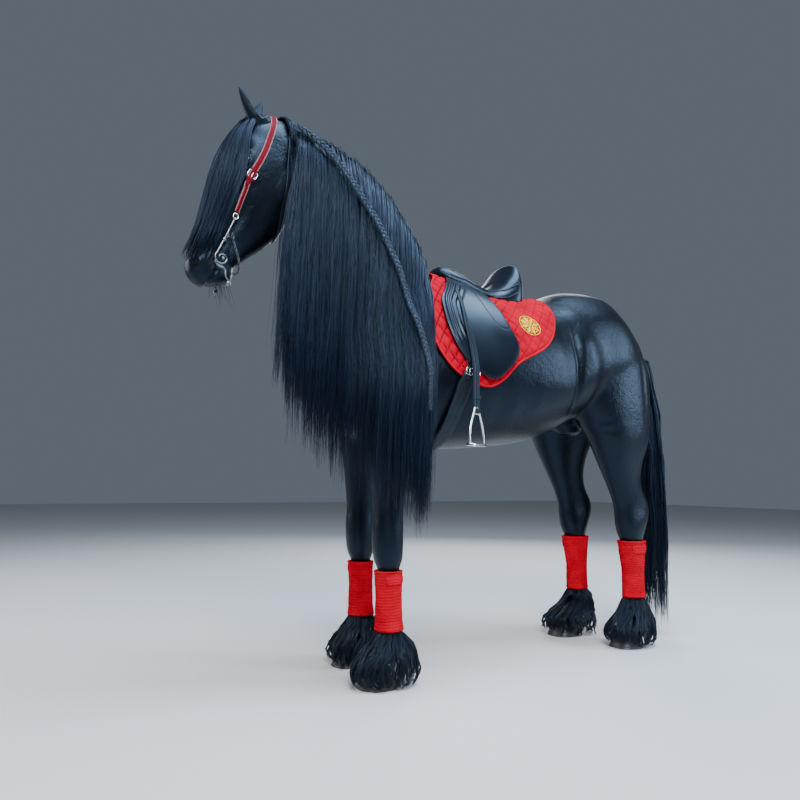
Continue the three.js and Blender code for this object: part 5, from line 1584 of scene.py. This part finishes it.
def stirrup(name, side):
    """A doubled leather with its loop and keeper, and an open iron with a ribbed tread."""
    line = curve(STIRRUP, 7)
    lying = trunk(line[:, 0], turn_at(line[:, 0], line[:, 1], 33.0) * side, 32.4)
    y = side * (HANG_Y - 2.5)
    hang = np.array([[HANG_X, y, z] for z in np.linspace(1168, 1000, 22)])
    points = soften(np.concatenate([lying, hang]), 8)
    out = np.array([0, side, 0])
    part = smooth((1430 - points[:, 2]) / 120)[:, None] * [10.0, 0, 0]
    # the loop that carries the iron: outward offset and height
    bend = curve([[HANG_X, y + side * off, z] for off, z in
                  ((1.7, 1002), (1.6, 992), (0, 987), (-1.8, 992), (-1.9, 1002))], 2.2)
    facing = np.array([[0, side, 0], [0, side * 0.3, -1], [0, -side, 0]])
    facing = facing[np.linspace(0, 2.99, len(bend)).astype(int)]
    keeper = [[HANG_X, y + side * 3.9, z] for z in (1040.0, 1052.0)]
    piece("stirrup_strap_" + name, [
        strap(points + out * 1.7 - part, out, 16, 3.2, 0.9, 0.3),
        strap(points - out * 1.9 + part, out, 16, 3.2, 0.9),
        strap(bend, facing, 34, 3.0, 0.9),
        strap(keeper, out, 38, 2.0, 0.6),
    ], STRAP_LEATHER, "black_leather", "stirrup_leather_" + name, sharp=40)

    low, half = IRON["top"] - IRON["height"], IRON["width"] / 2 - 5
    c, s = math.cos(-side * IRON["turn"]), math.sin(-side * IRON["turn"])

    def hung(parts):
        """Parts of the iron, turned on the leather and set under it."""
        verts, faces = many(parts)
        x, across, z = verts.T
        return [(np.stack([HANG_X + x * c - across * s, y + x * s + across * c, low + z], 1), faces)]

    arch = [(-half * k - grow, 0, z) for k, grow, z in IRON_ARCH]
    arch = curve(arch + [(0, 0, 142)] + [(-x, 0, z) for x, _, z in arch[::-1]], 4)
    turn = angles(60)
    edge_x, edge_y = squared(np.cos(turn), 0.5) * 58, squared(np.sin(turn), 0.5) * 19
    foot = closed([np.stack([edge_x * k, edge_y * k, np.full(60, z)], 1)
                   for k, z in ((0.94, -4.0), (1.0, -2.4), (1.0, 3.0), (0.96, 5.0))])
    piece("stirrup_bar_" + name, hung([
        tube(arch, along(ARCH_RADII, np.linspace(0, 1, len(arch))), 14),
        tube([[-half * 0.36, 0, 118.0], [0, 0, 119.0], [half * 0.36, 0, 118.0]], 3.4, 10),
        foot,
    ]), STEEL, "silver_steel", "stirrup_iron_" + name, sharp=35)
    piece("stirrup_tread_" + name, hung([
        tube([[k * 7.4, -13.5, 6.0], [k * 7.4, 0, 6.6], [k * 7.4, 13.5, 6.0]], 2.2, 8) for k in range(-6, 7)
    ]), RUBBER, "silver_steel", "stirrup_iron_" + name)


# Bridle
def lay_on_skin(points, gap, rounds=10, hold=2):
    """Draw a line tight over the skin, at a gap from it."""
    points = np.array(points, float)
    out = np.zeros_like(points)
    for k in range(rounds):
        soften(points[hold - 1:len(points) - hold + 1])
        for i, p in enumerate(points):
            foot, n = (np.array(v) for v in SKIN_TREE.find_nearest(Vector(p))[:2])
            if (p - foot) @ n < gap or k == rounds - 1:
                points[i] = foot + n * gap
            out[i] = n
    return points, soften(out, 4)


def side_points(line, side):
    """A line in side view, laid on one side of the skin from the middle out."""
    points = []
    for x, z in curve(line, 8):
        foot, _ = from_side(SKIN_TREE, x, z, side)
        if foot is not None and abs(foot.y) > 8:
            points.append([x, foot.y + side * 3, z])
    return points


def over_the_poll(line):
    """A strap's line from the left, over the top of the neck or head, and down the right."""
    left, right = side_points(line[::-1], LEFT), side_points(line[::-1], RIGHT)
    return np.array(left + arched(left[-1], right[-1], 14, 22) + right[::-1])


def arched(a, b, count, high):
    """Points between two ends, raised in an arch."""
    return [lerp(np.array(a), np.array(b), t) + np.array([0, 0, high * math.sin(math.pi * t)])
            for t in np.linspace(0, 1, count)[1:-1]]


def ring(centre, right, up, r, sides, loop_of=32, hint=(0.0, 1, 0)):
    """A round link, as wide and high as its two half axes."""
    turn = angles(loop_of)[:, None]
    return tube(centre + np.cos(turn) * right + np.sin(turn) * up, r, sides, hint, loop=True)


CHEEK = [[-1052, 2140], [-1072, 2060], [-1092, 1985], [-1124, 1891], [-1174, 1781], [-1206, 1668]]
LATCH = [[-1000, 2140], [-1006, 2060], [-1020, 1900], [-1034, 1700], [-1040, 1560]]


def headstall():
    """The red cheek strap over the poll, with its pale edges, buckles, points and keepers."""
    line, out = lay_on_skin(resample(over_the_poll(CHEEK), 7), 4.2)
    width = np.where(line[:, 2] < 1800, 17.0, 21.0)
    width = np.convolve(np.pad(width, 2, mode="edge"), np.ones(5) / 5, mode="valid")
    body = strap(line, out, width, 4.4, 1.3, 0.8)
    piece("cheek_strap", [body], RED_LEATHER, "red_leather", "headstall", sharp=50)
    _, n, b = frames(line, out)
    half = b * width[:, None] / 2
    edges = [tube(line + half * way * 0.985 + n * 0.4, 1.15, 6) for way in (-1, 1)]
    thread = [stitches(line + half * way * 0.76 + n * 2.7, out, 5.0, 3.0, 0.5) for way in (-1, 1)]
    piece("cheek_edges", edges + thread, PALE_EDGE, "red_leather", "headstall")
    steel, points = [], []
    for side in SIDES.values():
        place, normal = (np.array(v) for v in from_side(SKIN_TREE, -1163, 1806, side))
        down = np.array([-0.42, 0, -0.907])
        down = unit(down - normal * (down @ normal))
        steel.append(buckle(place + normal * 8.2, down, normal, 34, 24, 2.0))
        run = np.linspace(-18, 44, 22)
        tip = place + normal * 8.6 + run[:, None] * down
        points.append(strap(tip, normal, 18 * np.sqrt(np.clip((44 - run) / 12, 0.02, 1)), 3.2, 0.9))
        for at in (-16, 20):
            keeper = [place + normal * 9.2 + down * (at + way) for way in (-3.5, 3.5)]
            points.append(strap(keeper, normal, 27, 5.0, 1.2))
        # the ring that joins the cheek strap to the bit
        foot, _ = from_side(SKIN_TREE, -1207, 1660, side)
        centre = np.array([-1208, side * max(abs(foot.y) + 7, 66), 1652])
        steel.append(ring(centre, [9.5, 0, 0], [0, 0, 11], 2.0, 8))
    piece("cheek_buckles", steel, STEEL, "silver_steel", "headstall")
    piece("cheek_points", points, RED_LEATHER, "red_leather", "headstall", sharp=50)


def throat_latch():
    latch = over_the_poll(LATCH)
    under_jaw = arched(latch[-1], latch[0], 16, -14)
    line, out = lay_on_skin(resample(np.concatenate([latch, under_jaw, latch[:3]]), 8), 2.4)
    body = strap(line, out, 12, 3.0, 0.9)
    piece("throat_strap", [body], STRAP_LEATHER, "black_leather", "throat_latch", sharp=50)


# The bit's upper shank down to its scroll, and the lower shank, in side view
SCROLL = np.array([-1250.0, 1494.0])
UPPER_SHANK = [(-1208, 1650), (-1226, 1606), (-1246, 1560)]
LOWER_SHANK = [[-1275, 1482], [-1262, 1466], [-1240, 1458], [-1236, 1436], [-1226, 1420], [-1217, 1412]]


def bit_shank(name, side):
    y = side * 70.0

    def bar(line, radii):
        line = np.insert(line, 1, y, axis=1)
        return tube(line, along(radii, np.linspace(0, 1, len(line))), 10)

    share = np.arange(34)[:, None] / 33
    turn = math.pi * (0.72 + share * 2.2)
    scroll = SCROLL + np.concatenate([np.cos(turn), np.sin(turn)], 1) * 26 * (1 - share * 0.62)
    upper = np.concatenate([curve([*UPPER_SHANK, scroll[0]], 4), scroll[2:]])
    parts = [bar(resample(upper, 3.2), [[0, 2.9], [0.3, 3.6], [0.6, 3.4], [1, 2.2]]),
             bar(curve(LOWER_SHANK, 3), [[0, 3.6], [0.5, 3.3], [1, 3.0]])]
    parts += [ball([-1225, y, 1406], [9.5, 7, 9.5], 24, 16),
              ball([-1225, y + side * 5, 1406], [5, 3.6, 5], 16, 10),
              ball([-1244, y, 1562], [8, 6.5, 8], 18, 12),
              ball([SCROLL[0] + 4, y, SCROLL[1]], [6.5, 6, 6.5], 16, 10),
              ring(np.array([-1208, y, 1652]), [8, 0, 0], [0, 0, 9], 2.6, 8)]
    for drop in (0.0, 6.72, 13.44):
        parts.append(ring(np.array([-1232, y, 1586 - drop]), [6.3, 0, 0], [0, 6.2, 0], 1.3, 6))
    piece("bit_bar_" + name, parts, BIT_STEEL, "silver_steel", "bit_shank_" + name)


CURB = [[-1218, -74, 1584], [-1204, -72, 1540], [-1186, -60, 1496], [-1176, -32, 1474], [-1173, 0, 1468]]


def curb_chain():
    """Links in a row behind the chin, each turned a quarter from the last."""
    line = CURB + [[x, -y, z] for x, y, z in CURB[-2::-1]]
    line = resample(through(line, np.linspace(0, 1, 300)), 8.6)
    links = []
    for i, (p, way, n, b) in enumerate(zip(line, *frames(line, np.array([0.4, 0.0, -0.9])))):
        wide = n if i % 2 else b
        links.append(ring(p, way * 6.6, wide * 4.0, 1.35, 6, 20, np.cross(way, wide)))
    piece("curb_links", links, DARK_STEEL, "silver_steel", "curb_chain")


# Leg wraps
def out_from(points, middle):
    """Level directions from the middle of a leg out through points."""
    way = points - middle
    way[..., 2] = 0
    return unit(way)


def wrap(name):
    """A ribbed fleece bandage in overlapping turns, with a padded closing tab near its top."""
    rng = np.random.default_rng(sum(map(ord, name)))
    low, high = WRAP_HEIGHTS[name[:4]]
    upright = leg_rows(name)
    upright = upright[np.argsort(upright[:, 1])]
    upright = upright[np.abs(upright[:, 1] - upright[:, 3]) < 0.5]
    count, steps, pitch = 72, 137, 42.0
    turn = np.arange(count) / count
    swing = turn * 6.28
    outer, inner = [], []
    phase = rng.uniform(0, 1)
    for z in np.linspace(low, high, steps):
        row = np.array([np.interp(z, upright[:, 1], column) for column in upright.T])
        row[[1, 3]] = z
        f = ((z - low) / pitch + turn + phase) % 1.0
        lap = 0.9 * (1 - f) ** 0.7 - 0.9 * np.exp(-((f - 0.02) / 0.03) ** 2)
        rib = 0.75 * np.sin(2 * np.pi * (z / 10.5 + 0.35 * np.sin(swing + phase * 6)))
        fold = 0.5 * np.sin(swing * 2 + z / 34) + 0.35 * np.sin(swing * 5 - z / 19) + rib
        ends = 2.6 * (1 - smooth((z - low) / 5)) + 2.6 * (1 - smooth((high - z) / 5))
        base = section(row, count)
        way = out_from(base, base.mean(0))
        outer.append(base + way * (11.6 + lap + fold - ends)[:, None])
        inner.append(base + way)
    outer, inner = np.array(outer), np.array(inner)
    sheets = [np.concatenate([sheet, sheet[:, :1]], 1) for sheet in (outer, inner)]
    made = piece("fleece_wrap_" + name, [plate(*sheets, 4, "tb")], RED_FLEECE, "red_fleece", "wrap_" + name)
    # the tab lies on the outer side, and its patch of the wrap is drawn in to rounded corners
    centre = 0.25 if LEGS[name]["side"] == RIGHT else 0.75
    row, first, wide, tall = steps - 21, int(count * (centre - 0.13)), int(count * 0.27), 23
    patch = outer[row - tall // 2:row + tall // 2 + 1, first:first + wide]
    a, b = np.linspace(-1, 1, tall)[:, None], np.linspace(-1, 1, wide)[None]
    drawn_in = a * (1 - np.abs(b) ** 5 * 0.45)
    at = np.clip((drawn_in + 1) / 2 * (tall - 1), 0, tall - 1.001)
    i, column = at.astype(int), np.arange(wide)[None]
    patch = lerp(patch[i, column], patch[i + 1, column], (at - i)[..., None])
    way = out_from(patch, outer[row].mean(0))
    crown = (3.0 + 1.6 * (1 - a ** 4) * (1 - b ** 4))[..., None]
    tab = piece("wrap_tab_" + name, [plate(patch + way * crown, patch - way, 4)], RED_BINDING, "red_fleece",
                "wrap_" + name)


saddle_pad()
for name, side in SIDES.items():
    rosette(name, side)
for name, side in SIDES.items():
    flap(name, side)
    stirrup(name, side)
saddle_seat()
girth()
headstall()
throat_latch()
for name, side in SIDES.items():
    bit_shank(name, side)
curb_chain()
for name in LEGS:
    wrap(name)
